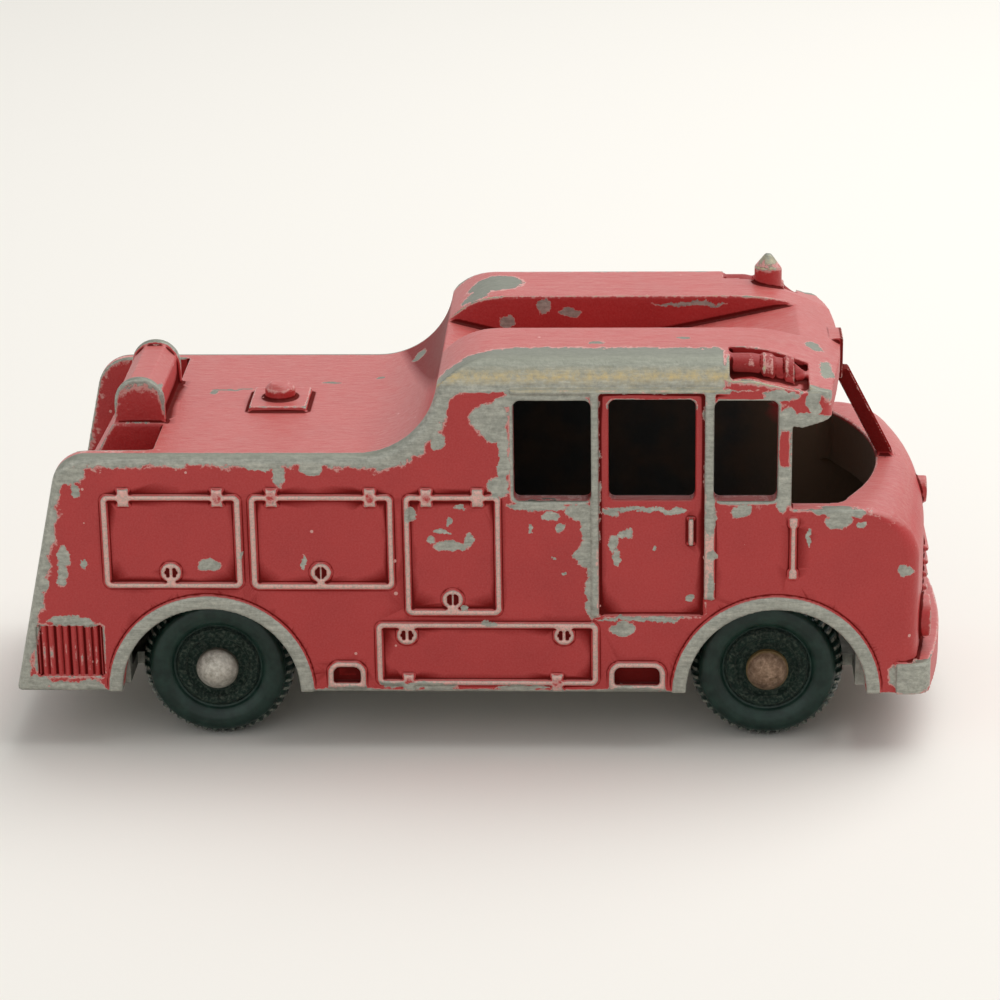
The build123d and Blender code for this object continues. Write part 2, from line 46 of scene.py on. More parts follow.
# ---------------------------------------------------------------------------
# Body: one hollow zinc die casting, stove-enamelled red. Its edges came out of
# the die slightly soft, and years of play have worn the enamel through to grey
# metal along every edge and raised line.
# ---------------------------------------------------------------------------
CASTING_GRAIN = 0.1 * 1  # mm, the finest detail that the casting holds
BODY_FACES = 195000
SIDE_WALL = 8.9  # inner faces of the side walls, from the centre plane
SIDE_FACE = 10.1  # outer faces
# The roof's trough: its inner and outer half widths, and (x, z) profiles of its floor and its walls' feet
TROUGH_INNER, TROUGH_OUTER = 3.25, 4.0
TROUGH_FLOOR = [(1.5, 21.6), (14.5, 21.6), (14.5, 23.44), (9.6, 22.4), (1.5, 22.4)]
WALL_FOOT = [(1.5, 22.0), (14.5, 22.0), (14.5, 23.44), (9.6, 22.9), (1.5, 22.9)]
# The coin-slot locks of the lockers: (x, z), and the sunken part inside each lock's ring
LOCKS = [(-18.7, 11.7), (-9.55, 11.7), (-1.55, 9.95), (-4.4, 7.6), (5.2, 7.6)]
LOCK_BORE, LOCK_BAR, LOCK_SINK = 0.38, 0.09, 0.2
# The louvred panel: its edges inside its frame, its ribs' pitch and the middle of one of them
LOUVRE = (-27.2, -23.2, 4.8, 8.1)
RIB_PITCH, RIB_X, RIB_DEPTH = 0.456, -26.794, 0.3
RIB_MIDDLE, RIB_REACH = 6.2, 1.1  # the height at which the ribs are rubbed, and how far up and down
# The roof's drooping front: where the droop ends, how far out it begins and over what width it grows
DROOP_END, DROOP_SIDE, DROOP_WIDTH = 19.5, 5.5, 4.0


def new_object(name, data):
    """An object of that data, put in the scene."""
    made = bpy.data.objects.new(name, data)
    bpy.context.scene.collection.objects.link(made)
    return made


def merged_copy(name, source, scale):
    """A copy of a CAD node's mesh, its loose triangles joined, scaled about the origin."""
    work = bmesh.new()
    work.from_mesh(nodes[source].data)
    bmesh.ops.transform(work, matrix=Matrix.Scale(scale, 4), verts=work.verts)
    bmesh.ops.remove_doubles(work, verts=work.verts, dist=1e-4)
    mesh = bpy.data.meshes.new(name)
    work.to_mesh(mesh)
    work.free()
    return new_object(name, mesh)


def bake_modifiers(piece):
    """Puts the result of the piece's modifiers in its mesh and takes them off."""
    bpy.context.view_layer.update()
    graph = bpy.context.evaluated_depsgraph_get()
    shaped = piece.evaluated_get(graph)
    done = bpy.data.meshes.new_from_object(shaped, preserve_all_data_layers=True, depsgraph=graph)
    piece.modifiers.clear()
    piece.data = done


def vertex_places(mesh):
    """The mesh's vertices as an array of rows."""
    places = np.empty(len(mesh.vertices) * 3)
    mesh.vertices.foreach_get("co", places)
    return places.reshape(-1, 3)


def smoothed(mesh, places, reach):
    """Places blurred over about that reach in mm.

    Each pass moves every vertex halfway to its neighbours' mean, which on a grid of spacing g adds
    g squared / 4 to the square of the reach.
    """
    ends = np.empty(len(mesh.edges) * 2, dtype=np.int64)
    mesh.edges.foreach_get("vertices", ends)
    first, second = ends.reshape(-1, 2).T
    total = len(places)
    count = np.bincount(first, minlength=total) + np.bincount(second, minlength=total)
    result = places.copy()
    for _ in range(max(1, round(4 * (reach / CASTING_GRAIN) ** 2))):
        for axis in range(3):
            value = result[:, axis]
            around = np.bincount(first, value[second], total) + np.bincount(second, value[first], total)
            result[:, axis] = (value + around / np.maximum(count, 1)) / 2
    return result


def store(mesh, name, values):
    """Keeps one number per vertex as a named attribute."""
    layer = mesh.attributes.new(name, "FLOAT", "POINT")
    layer.data.foreach_set("value", np.ascontiguousarray(values, dtype=np.float32))


def shade_smooth(mesh):
    """Shades all faces of the mesh smoothly."""
    mesh.polygons.foreach_set("use_smooth", np.ones(len(mesh.polygons), dtype=bool))


def outward(mesh):
    """Vertex normals as an array of rows."""
    normals = np.empty(len(mesh.vertices) * 3)
    mesh.vertex_normals.foreach_get("vector", normals)
    return normals.reshape(-1, 3)


def add_prism(mesh, profile, near_side, far_side):
    """Adds a closed prism to a mesh: a profile of (x, z) points carried across from one y to another."""
    work = bmesh.new()
    work.from_mesh(mesh)
    near = [work.verts.new((x, near_side, z)) for x, z in profile]
    far = [work.verts.new((x, far_side, z)) for x, z in profile]
    work.faces.new(near)
    work.faces.new(far[::-1])
    for i in range(len(profile)):
        work.faces.new((near[i], near[i - 1], far[i - 1], far[i]))
    work.to_mesh(mesh)
    work.free()


casting = merged_copy("body_casting", "body", 1 / MM)
# The windows' cut-outs run on through the trough's floor in the solid: the floor and the feet of its
# walls are closed again over them
add_prism(casting.data, TROUGH_FLOOR, -TROUGH_OUTER, TROUGH_OUTER)
add_prism(casting.data, WALL_FOOT, -TROUGH_OUTER, -TROUGH_INNER)
add_prism(casting.data, WALL_FOOT, TROUGH_INNER, TROUGH_OUTER)
voxels = casting.modifiers.new("soft die edges", "REMESH")
voxels.mode = "VOXEL"
voxels.voxel_size = CASTING_GRAIN
bake_modifiers(casting)
places = vertex_places(casting.data)
x, y, z = places.T
across = np.abs(y)
for lock_x, lock_z in LOCKS:
    in_bore = (np.hypot(x - lock_x, z - lock_z) < LOCK_BORE) & (np.abs(x - lock_x) > LOCK_BAR)
    y -= np.sign(y) * LOCK_SINK * (in_bore & (across > SIDE_FACE + 0.05))
# The ribs are finer than the grain, so their round-edged section is pressed in again
louvred = (x > LOUVRE[0]) & (x < LOUVRE[1]) & (z > LOUVRE[2]) & (z < LOUVRE[3]) & (across > SIDE_FACE - 0.5)
valley = np.clip(0.5 - 1.6 * (np.cos(2 * np.pi * (x - RIB_X) / RIB_PITCH) + 0.35), 0, 1)
y[louvred] = (np.sign(y) * (SIDE_FACE - RIB_DEPTH * valley))[louvred]
# The roof's front corners droop more than its middle, and its top more than its underside
droop_from = 16.5 + 1.9 * np.clip((23.4 - z) / 0.5, 0, 1)
sideways = np.clip((across - DROOP_SIDE) / DROOP_WIDTH, 0, 1) * (z > 21.0)
droop = np.clip((x - droop_from) / (DROOP_END - droop_from), 0, 1) * sideways
z -= (0.55 + 0.35 * np.clip((z - 23.6) / 0.6, 0, 1)) * droop
normals = outward(casting.data)
# How far each point stands out from its surroundings, over a wide and a narrow reach, or lies below
# them, in mm
narrow = smoothed(casting.data, places, 0.13)
crest = np.einsum("ij,ij->i", places - narrow, normals)
middle = smoothed(casting.data, narrow, 0.17)
hollow = np.einsum("ij,ij->i", middle - places, normals)
wide = smoothed(casting.data, middle, 0.28)
edge = np.einsum("ij,ij->i", places - wide, normals)
# The ribs are rubbed at the middle of their height only
rubbed_rib = np.exp(-((z - RIB_MIDDLE) / RIB_REACH) ** 2) * (1 - 3 * valley) - 0.15
crest[louvred] = 0.085 * rubbed_rib[louvred]
hollow[louvred] = 0.035 * valley[louvred]
edge[louvred] = 0.0

# The side's own outline: up the tail, along the deck, up the ramp, over the roof and down to the visor.
# Each arc is its middle plus its radius times the cosine and sine of its turn
turn = np.linspace(0, 1, 12)
crown_turn, ramp_turn, lip_turn, brow_turn = 0.22 + 1.35 * turn, 1.43 * turn, 0.868 * (1 - turn), 0.583 * turn
outline = np.concatenate([
    [(-28.7, 3.8), (-25.9, 16.5)],
    np.column_stack([-23.7 - 2.2 * np.cos(crown_turn), 17.0 + 2.2 * np.sin(crown_turn)]),
    np.column_stack([-7.25 + 5.0 * np.sin(ramp_turn), 24.2 - 5.0 * np.cos(ramp_turn)]),
    np.column_stack([1.15 - 4.52 * np.sin(lip_turn), 20.58 + 4.52 * np.cos(lip_turn)]),
    np.column_stack([16.15 + 10.9 * np.sin(brow_turn), 14.2 + 10.9 * np.cos(brow_turn)]),
])
# How far each point lies from that outline, in mm, and no more than 9: the least way to any of its runs
margin = np.full(len(places), 9.0)
for start, end in zip(outline[:-1], outline[1:]):
    run = end - start
    share = np.clip(((x - start[0]) * run[0] + (z - start[1]) * run[1]) / max(run @ run, 1e-9), 0, 1)
    margin = np.minimum(margin, np.hypot(x - start[0] - share * run[0], z - start[1] - share * run[1]))

# How far each point lies inside the shell, in mm: the most that it lies inside any of its four rooms
top = np.interp(x, outline[:, 0], outline[:, 1])
under_trough = (x > -2.3) & (across < 3.7)
top = np.where(under_trough, 22.5, top)
bow = (y / 9) ** 2
deep = np.max([
    np.min([top - 0.65 - z, 23.3 - z, x + 19.0, 18.7 - x], axis=0),  # under the deck and the roof
    np.min([12.45 - z, x - 18.6, 26.95 - 0.8 * bow - x], axis=0),  # behind the nose
    np.min([15.6 - z, x - 18.6, 24.95 - 2.2 * bow - x], axis=0),  # under the cowl, which is further back
    np.min([10.8 - z, -18.0 - x, x + 28.1 - 0.22 * (z - 3.8)], axis=0),  # ahead of the tail
], axis=0)
# It also has to be between the side walls, and not on the spun ends of the two posts
deep = np.min([deep, SIDE_WALL + 0.12 - across, np.maximum(z - 4.3, across - 1.6)], axis=0)
surface_values = {
    "edge": edge, "crest": crest, "hollow": hollow, "margin": margin, "depth": np.clip(deep, -1.0, 1.0)
}
for name, values in surface_values.items():
    store(casting.data, name, values)
soft = smoothed(casting.data, places, 0.6 * CASTING_GRAIN)
casting.data.vertices.foreach_set("co", (soft * MM).ravel())
thin = casting.modifiers.new("fewer faces", "DECIMATE")
thin.ratio = min(1.0, BODY_FACES / (2 * len(casting.data.polygons)))
bake_modifiers(casting)
shade_smooth(casting.data)


def linear(code, alpha=1.0):
    """A sRGB hex colour as linear red, green and blue."""
    channels = [int(code[i : i + 2], 16) / 255 for i in (1, 3, 5)]
    return [c / 12.92 if c <= 0.04045 else ((c + 0.055) / 1.055) ** 2.4 for c in channels] + [alpha]


def new_material(name):
    """An empty node material and its tree."""
    made = bpy.data.materials.new(name)
    made.use_nodes = True
    made.node_tree.nodes.clear()
    return made, made.node_tree


def add(tree, kind, inputs=None, **settings):
    """Adds a node with its settings, its sockets' values, and links to the sockets given as values."""
    made = tree.nodes.new(kind)
    for name, value in settings.items():
        setattr(made, name, value)
    for name, value in (inputs or {}).items():
        if isinstance(value, bpy.types.NodeSocket):
            tree.links.new(value, made.inputs[name])
        else:
            made.inputs[name].default_value = value
    return made


def set_ramp(ramp_node, stops):
    """Colour stops of a ramp: (position, colour) pairs, in order."""
    ramp = ramp_node.color_ramp
    while len(ramp.elements) < len(stops):
        ramp.elements.new(0.5)
    for element, (position, colour) in zip(ramp.elements, stops):
        element.position = position
        element.color = colour


def millimetres(tree):
    """Places on the object in mm, so that a pattern's scale is its number of features to the millimetre."""
    coordinates = add(tree, "ShaderNodeTexCoord").outputs["Object"]
    scaled = add(tree, "ShaderNodeVectorMath", {0: coordinates, 1: (1 / MM,) * 3}, operation="MULTIPLY")
    return scaled.outputs[0]


def coat(piece, material):
    """Gives a piece that one material."""
    piece.data.materials.clear()
    piece.data.materials.append(material)


# Places on the right-hand side where the enamel has flaked off: (x, z, half length, half height) in mm
SIDE_CHIPS = [
    (-24.3, 17.0, 0.22, 0.5), (-25.2, 12.7, 0.33, 0.6), (-25.4, 11.6, 0.3, 0.8), (-26.6, 10.9, 0.3, 0.35),
    (-24.0, 12.2, 0.2, 0.25), (-16.3, 12.2, 0.6, 0.42), (-14.4, 12.9, 0.12, 0.2), (-10.5, 12.3, 0.15, 0.5),
    (-11.9, 17.9, 0.35, 0.6), (-9.9, 18.4, 0.6, 0.3), (-13.0, 18.5, 0.8, 0.25), (-25.0, 17.9, 1.2, 0.5),
    (-25.2, 8.45, 1.1, 0.3), (-24.0, 8.3, 0.4, 0.3), (-27.6, 4.3, 0.9, 0.4), (-25.6, 4.1, 0.9, 0.35),
    (-24.0, 4.1, 0.7, 0.4), (-28.0, 6.6, 0.25, 2.4), (-27.1, 17.6, 0.4, 0.4),
    (-1.6, 13.4, 0.95, 0.3), (-2.7, 13.8, 0.3, 0.2), (-0.6, 13.8, 0.25, 0.4), (-2.1, 14.3, 0.4, 0.15),
    (-4.0, 15.5, 0.28, 0.4), (-1.7, 15.0, 0.22, 0.25), (-1.0, 15.9, 0.3, 0.2), (-0.9, 9.4, 0.3, 0.15),
    (0.8, 21.5, 1.0, 1.0), (1.0, 20.6, 0.5, 0.5), (1.65, 19.0, 0.3, 1.9), (1.3, 17.3, 0.6, 0.65),
    (-2.2, 20.1, 0.35, 0.45), (-3.6, 20.9, 0.6, 0.5), (2.0, 22.6, 0.8, 0.35), (4.5, 23.0, 2.6, 0.35),
    (3.6, 16.0, 1.7, 0.25), (4.5, 15.3, 0.45, 0.3), (5.1, 14.6, 0.25, 0.3), (3.2, 14.6, 0.15, 0.3),
    (6.3, 15.6, 0.9, 0.5), (6.7, 14.4, 0.4, 1.2), (6.6, 12.7, 0.55, 0.7), (6.9, 10.6, 0.32, 1.9),
    (6.1, 12.9, 0.3, 0.3), (4.6, 12.7, 0.12, 0.12), (5.3, 11.6, 0.12, 0.12), (7.1, 18.5, 0.35, 5.0),
    (8.2, 13.6, 0.35, 0.6), (8.9, 14.2, 0.5, 0.25), (8.5, 12.6, 0.18, 0.5), (10.0, 15.75, 2.2, 0.14),
    (8.0, 15.5, 0.5, 0.2), (12.0, 15.6, 0.8, 0.2), (12.9, 9.9, 0.25, 0.2), (10.7, 13.2, 0.15, 0.13),
    (9.6, 8.65, 2.2, 0.1), (8.7, 8.0, 0.7, 0.4), (11.2, 8.6, 0.9, 0.12), (14.0, 19.8, 0.35, 4.0),
    (14.1, 15.1, 0.3, 0.8), (14.15, 12.8, 0.25, 0.3), (14.1, 10.8, 0.2, 0.8), (15.9, 15.7, 0.5, 0.35),
    (18.4, 17.0, 0.45, 1.3), (18.6, 21.6, 0.45, 0.6), (19.6, 21.4, 1.4, 0.4), (18.2, 23.0, 1.0, 0.3),
    (20.2, 22.6, 0.35, 0.8), (20.0, 14.0, 0.14, 0.6), (21.8, 15.6, 1.3, 0.3), (21.7, 15.0, 0.7, 0.4),
    (23.2, 14.8, 0.3, 0.25), (24.0, 16.0, 0.5, 0.3), (25.9, 11.8, 0.45, 0.3), (-5.3, 4.3, 0.8, 0.2),
    (8.6, 23.3, 6.8, 0.14), (-3.4, 4.2, 1.9, 0.2), (2.7, 4.1, 1.5, 0.18), (9.5, 4.0, 1.4, 0.2),
    (0.6, 8.4, 0.4, 0.12), (-8.0, 4.0, 1.3, 0.18), (26.6, 4.9, 1.6, 0.9), (27.4, 5.4, 0.5, 0.9),
]
# Places on both sides where it has held better than around them
SIDE_KEPT = [
    (10.55, 19.5, 3.4, 4.3), (-15.7, 16.6, 0.35, 0.55), (-12.4, 16.6, 0.4, 0.55), (-6.45, 16.6, 0.3, 0.5),
    (-3.05, 16.6, 0.35, 0.5), (-4.35, 4.45, 0.4, 0.5), (4.75, 4.45, 0.4, 0.5), (0.3, 22.85, 0.4, 0.3),
    (1.4, 23.3, 0.35, 0.3), (-1.2, 22.2, 0.5, 0.7), (16.2, 22.95, 1.3, 0.2), (18.35, 19.6, 0.3, 1.0),
]
# Flaked places on the faces that look up: (x, y, half length, half width)
TOP_CHIPS = [
    (-16.5, 2.3, 0.9, 0.16), (-17.1, 1.8, 0.25, 0.35), (-15.3, 2.5, 0.5, 0.12), (-9.8, 3.8, 0.6, 0.18),
    (-6.8, 4.6, 0.3, 0.18), (-21.2, -3.9, 0.8, 0.35), (-21.0, 3.9, 0.9, 0.4), (-22.4, -6.3, 0.3, 1.2),
    (-19.9, -3.0, 0.15, 0.6), (0.6, 6.2, 1.6, 1.5), (-0.6, 4.4, 0.8, 0.9), (1.2, -1.2, 0.6, 0.5),
    (2.6, -1.4, 0.3, 0.25), (8.9, 0.9, 0.9, 0.2), (7.2, -6.3, 0.5, 0.25), (12.4, -5.4, 0.35, 0.25),
    (20.4, -4.4, 0.5, 0.7), (21.0, -7.2, 0.4, 0.9), (-4.4, 6.6, 0.4, 0.8),
]
# Flaked places on the trough's left wall: (x, z, half length, half height)
TROUGH_CHIPS = [
    (3.7, 24.4, 0.4, 0.35), (5.4, 24.0, 0.6, 0.35), (1.4, 23.4, 0.4, 0.4), (13.0, 24.6, 2.0, 0.12),
]
# Where the marks of wear lie, in mm
LEFT_SHIFT = (-1.9, 0, 0.7)  # how far the left side's marks are moved along from the right side's
ARCH_MIDDLE, ARCH_OFFSET = (0.8, 0, 3.8), (17.35, 0, 0)  # halfway between the arches, and from there to one
DOOR_WINDOW, WINDOW_SIZE = (10.55, 0, 19.0), 3.3  # the middle of the door's window, and half its size
NOZZLE_X = 17.5  # the middle of the hose nozzles' notches
RIM_STEP = 0.008  # half the width of the step from enamel to metal
LIMIT = 0.92  # how much wear bares the metal

enamel, tree = new_material("worn_red_enamel_on_zinc")
mapped = millimetres(tree)
at_x, at_y, at_z = add(tree, "ShaderNodeSeparateXYZ", {0: mapped}).outputs
facing = add(tree, "ShaderNodeNewGeometry").outputs["True Normal"]
facing_up = add(tree, "ShaderNodeSeparateXYZ", {0: facing}).outputs[2]
across = add(tree, "ShaderNodeMath", {0: at_y}, operation="ABSOLUTE").outputs[0]
edge_value, crest_value, hollow_value, margin_value, depth_value = [
    add(tree, "ShaderNodeAttribute", attribute_name=name).outputs["Fac"] for name in surface_values
]
inside_value = add(
    tree, "ShaderNodeMapRange", {"Value": depth_value, "From Min": -0.05, "From Max": 0.05}
).outputs[0]

# Ragged outlines: places are shifted by a noise of about 1 mm before anything is measured from them
coarse = add(tree, "ShaderNodeTexNoise", {"Vector": mapped, "Scale": 0.9, "Detail": 6.0, "Roughness": 0.68})
uneven = add(
    tree, "ShaderNodeMath", {0: coarse.outputs[0], 1: 1.6, 2: -0.8}, operation="MULTIPLY_ADD"
).outputs[0]
shift = add(
    tree, "ShaderNodeVectorMath", {0: coarse.outputs["Color"], 1: (0.5, 0.5, 0.5)}, operation="SUBTRACT"
).outputs[0]
shifted = add(
    tree, "ShaderNodeVectorMath", {0: shift, 1: (1.2, 1.2, 1.2), 2: mapped}, operation="MULTIPLY_ADD"
).outputs[0]

# The left-hand side has its own marks: the same ones, moved along
moved = add(tree, "ShaderNodeVectorMath", {0: shifted, 1: LEFT_SHIFT}, operation="ADD").outputs[0]
on_left = add(tree, "ShaderNodeMath", {0: at_y, 1: 0.0}, operation="GREATER_THAN").outputs[0]
chip_place = add(
    tree, "ShaderNodeMix", {"Factor": on_left, 4: shifted, 5: moved}, data_type="VECTOR"
).outputs[1]


def nearest_chip(chips, flat_axis, place):
    """How deep a place lies in the nearest chip: 1 at its middle, 0 on its outline, negative outside.

    That is 1 minus the length of the way from the middle, in half sizes and without the flat axis.
    """
    best = None
    for chip in chips:
        centre = list(chip[:2])
        centre.insert(flat_axis, 0.0)
        size = [1 / chip[2], 1 / chip[3]]
        size.insert(flat_axis, 0.0)
        offset = [-c * s for c, s in zip(centre, size)]
        way = add(tree, "ShaderNodeVectorMath", {0: place, 1: size, 2: offset}, operation="MULTIPLY_ADD")
        length = add(tree, "ShaderNodeVectorMath", {0: way.outputs[0]}, operation="LENGTH").outputs["Value"]
        if best is None:
            best = length
        else:
            best = add(tree, "ShaderNodeMath", {0: best, 1: length}, operation="MINIMUM").outputs[0]
    return add(tree, "ShaderNodeMath", {0: 1.0, 1: best}, operation="SUBTRACT").outputs[0]


def flaked(chips, flat_axis, place, mask):
    """Wear of the chips: it rises from just outside a chip's outline to its middle, within a mask."""
    depth = nearest_chip(chips, flat_axis, place)
    share = add(
        tree, "ShaderNodeMapRange", {"Value": depth, "From Min": -0.3, "From Max": 0.5, "To Max": 1.4}
    ).outputs[0]
    return add(tree, "ShaderNodeMath", {0: share, 1: mask}, operation="MULTIPLY").outputs[0]


# Each cause of wear is a share of what it takes to bare the metal where the noise is average. The masks are
# the side panels, whatever looks up, and the inside of the trough
on_side = add(
    tree, "ShaderNodeMapRange", {"Value": across, "From Min": SIDE_FACE - 0.7, "From Max": SIDE_FACE - 0.4}
).outputs[0]
on_top = add(tree, "ShaderNodeMapRange", {"Value": facing_up, "From Min": 0.5, "From Max": 0.7}).outputs[0]
in_trough = add(tree, "ShaderNodeMapRange", {"Value": across, "From Min": 3.7, "From Max": 3.6}).outputs[0]
side_chip = flaked(SIDE_CHIPS, 1, chip_place, on_side)
top_chip = flaked(TOP_CHIPS, 2, shifted, on_top)
trough_chip = flaked(TROUGH_CHIPS, 1, shifted, in_trough)
top_chip = add(tree, "ShaderNodeMath", {0: top_chip, 1: trough_chip}, operation="MAXIMUM").outputs[0]
kept = add(
    tree, "ShaderNodeMapRange",
    {"Value": nearest_chip(SIDE_KEPT, 1, mapped), "From Min": -0.3, "From Max": 0.3, "To Max": 0.55},
).outputs[0]
kept = add(tree, "ShaderNodeMath", {0: kept, 1: on_side}, operation="MULTIPLY").outputs[0]
# Raised lines stand 0.18 mm off the side panels and are rubbed bare, the wheel arches' lips the most: the
# length is folded about the arches' middle, so that one distance serves both
raised = add(
    tree, "ShaderNodeMapRange", {"Value": across, "From Min": SIDE_FACE + 0.1, "From Max": SIDE_FACE + 0.16}
).outputs[0]
fold = add(tree, "ShaderNodeVectorMath", {0: mapped, 1: ARCH_MIDDLE}, operation="SUBTRACT").outputs[0]
fold = add(tree, "ShaderNodeVectorMath", {0: fold}, operation="ABSOLUTE").outputs[0]
from_arch = add(tree, "ShaderNodeVectorMath", {0: fold, 1: ARCH_OFFSET}, operation="SUBTRACT").outputs[0]
from_arch = add(tree, "ShaderNodeVectorMath", {0: from_arch, 1: (1, 0, 1)}, operation="MULTIPLY").outputs[0]
from_arch = add(tree, "ShaderNodeVectorMath", {0: from_arch}, operation="LENGTH").outputs["Value"]
lip = add(tree, "ShaderNodeMapRange", {"Value": from_arch, "From Min": 6.5, "From Max": 6.3}).outputs[0]
rubbed = add(tree, "ShaderNodeMath", {0: lip, 1: 0.4, 2: 0.52}, operation="MULTIPLY_ADD").outputs[0]
rubbed = add(tree, "ShaderNodeMath", {0: raised, 1: rubbed}, operation="MULTIPLY").outputs[0]
# Handling wears the sides' edges wide, as far forward as the cab's front pillar, and other edges narrow
handled = add(
    tree, "ShaderNodeMapRange",
    {"Value": across, "From Min": 8.0, "From Max": 9.3, "To Min": 1.4, "To Max": 5.0},
).outputs[0]
ahead = add(
    tree, "ShaderNodeMapRange",
    {"Value": at_x, "From Min": 17.5, "From Max": 19.5, "To Min": 1.0, "To Max": 0.3},
).outputs[0]
handled = add(tree, "ShaderNodeMath", {0: handled, 1: ahead}, operation="MULTIPLY").outputs[0]
# It also wears the round heads of the ladder rest at the tail
tail_end = add(tree, "ShaderNodeMapRange", {"Value": at_x, "From Min": -19.0, "From Max": -19.1}).outputs[0]
rest_head = add(tree, "ShaderNodeMapRange", {"Value": across, "From Min": 3.4, "From Max": 3.6}).outputs[0]
rest_head = add(tree, "ShaderNodeMath", {0: rest_head, 1: tail_end}, operation="MULTIPLY").outputs[0]
on_rest = add(
    tree, "ShaderNodeMapRange", {"Value": at_z, "From Min": 19.3, "From Max": 19.6, "To Max": 2.6}
).outputs[0]
on_rest = add(tree, "ShaderNodeMath", {0: on_rest, 1: rest_head}, operation="MULTIPLY").outputs[0]
handled = add(tree, "ShaderNodeMath", {0: handled, 1: on_rest}, operation="ADD").outputs[0]
# It spares the edges of the sunken door's window: the larger of the two ways from its middle tells them
door = add(tree, "ShaderNodeVectorMath", {0: mapped, 1: DOOR_WINDOW}, operation="SUBTRACT").outputs[0]
door = add(
    tree, "ShaderNodeVectorMath", {0: door, 1: (1 / WINDOW_SIZE, 0, 1 / WINDOW_SIZE)}, operation="MULTIPLY"
).outputs[0]
door = add(tree, "ShaderNodeVectorMath", {0: door}, operation="ABSOLUTE").outputs[0]
door = add(tree, "ShaderNodeSeparateXYZ", {0: door})
door = add(tree, "ShaderNodeMath", {0: door.outputs[0], 1: door.outputs[2]}, operation="MAXIMUM").outputs[0]
off_door = add(
    tree, "ShaderNodeMapRange", {"Value": door, "From Min": 0.9, "From Max": 0.96, "To Min": 0.15}
).outputs[0]
handled = add(tree, "ShaderNodeMath", {0: handled, 1: off_door}, operation="MULTIPLY").outputs[0]
wide_edge = add(tree, "ShaderNodeMath", {0: edge_value, 1: handled}, operation="MULTIPLY").outputs[0]
edges = add(
    tree, "ShaderNodeMath", {0: crest_value, 1: 7.0, 2: wide_edge}, operation="MULTIPLY_ADD"
).outputs[0]
# What stands highest is knocked most: the rest's round heads behind, and the beacon's cap
knocked = add(
    tree, "ShaderNodeMapRange", {"Value": at_z, "From Min": 20.6, "From Max": 22.1, "To Max": 0.28}
).outputs[0]
knocked = add(tree, "ShaderNodeMath", {0: knocked, 1: rest_head}, operation="MULTIPLY").outputs[0]
cap = add(
    tree, "ShaderNodeMapRange", {"Value": at_z, "From Min": 25.6, "From Max": 26.8, "To Max": 0.5}
).outputs[0]
knocked = add(tree, "ShaderNodeMath", {0: knocked, 1: cap}, operation="ADD").outputs[0]
edges = add(tree, "ShaderNodeMath", {0: edges, 1: knocked}, operation="ADD").outputs[0]
# The spun heads of the posts under the base plate are bare, but not the ends of the casting's lower edge
spun = add(tree, "ShaderNodeMapRange", {"Value": at_z, "From Min": 4.4, "From Max": 4.3}).outputs[0]
middle_line = add(tree, "ShaderNodeMapRange", {"Value": across, "From Min": 1.8, "From Max": 1.7}).outputs[0]
spun = add(tree, "ShaderNodeMath", {0: spun, 1: middle_line}, operation="MULTIPLY").outputs[0]
off_ends = add(tree, "ShaderNodeSeparateXYZ", {0: fold}).outputs[0]
off_ends = add(tree, "ShaderNodeMapRange", {"Value": off_ends, "From Min": 27.0, "From Max": 26.8}).outputs[0]
edges = add(tree, "ShaderNodeMath", {0: spun, 1: off_ends, 2: edges}, operation="MULTIPLY_ADD").outputs[0]
# A band under the sides' upper outline, wider from the ramp forward
band_width = add(
    tree, "ShaderNodeMapRange", {"Value": at_x, "From Min": -8.5, "From Max": -5.0, "To Max": 0.55}
).outputs[0]
band_place = add(tree, "ShaderNodeMath", {0: margin_value, 1: band_width}, operation="SUBTRACT").outputs[0]
band_place = add(tree, "ShaderNodeMath", {0: band_place, 1: uneven}, operation="ADD").outputs[0]
band = add(
    tree, "ShaderNodeMapRange",
    {"Value": band_place, "From Min": 0.0, "From Max": 1.4, "To Min": 1.3, "To Max": -0.5},
).outputs[0]
band = add(tree, "ShaderNodeMath", {0: band, 1: on_side}, operation="MULTIPLY").outputs[0]
edges = add(tree, "ShaderNodeMath", {0: edges, 1: band}, operation="MAXIMUM").outputs[0]
# The rounded edge of the roof is bare from the ramp to the hose nozzle, further in on the left
behind = add(
    tree, "ShaderNodeMapRange", {"Value": at_x, "From Min": 2.5, "From Max": -4.5, "To Max": 2.0}
).outputs[0]
roof_place = add(tree, "ShaderNodeMath", {0: across, 1: behind}, operation="SUBTRACT").outputs[0]
roof_place = add(
    tree, "ShaderNodeMath", {0: on_left, 1: -1.5, 2: roof_place}, operation="MULTIPLY_ADD"
).outputs[0]
roof_place = add(tree, "ShaderNodeMath", {0: roof_place, 1: uneven}, operation="ADD").outputs[0]
roof_edge = add(
    tree, "ShaderNodeMapRange",
    {"Value": roof_place, "From Min": 6.6, "From Max": 8.0, "To Min": -0.2, "To Max": 1.2},
).outputs[0]
high = add(tree, "ShaderNodeMapRange", {"Value": at_z, "From Min": 23.1, "From Max": 23.4}).outputs[0]
short = add(tree, "ShaderNodeMapRange", {"Value": at_x, "From Min": 15.1, "From Max": 14.3}).outputs[0]
roof_edge = add(tree, "ShaderNodeMath", {0: roof_edge, 1: high}, operation="MULTIPLY").outputs[0]
roof_edge = add(tree, "ShaderNodeMath", {0: roof_edge, 1: short}, operation="MULTIPLY").outputs[0]
edges = add(tree, "ShaderNodeMath", {0: edges, 1: roof_edge}, operation="MAXIMUM").outputs[0]

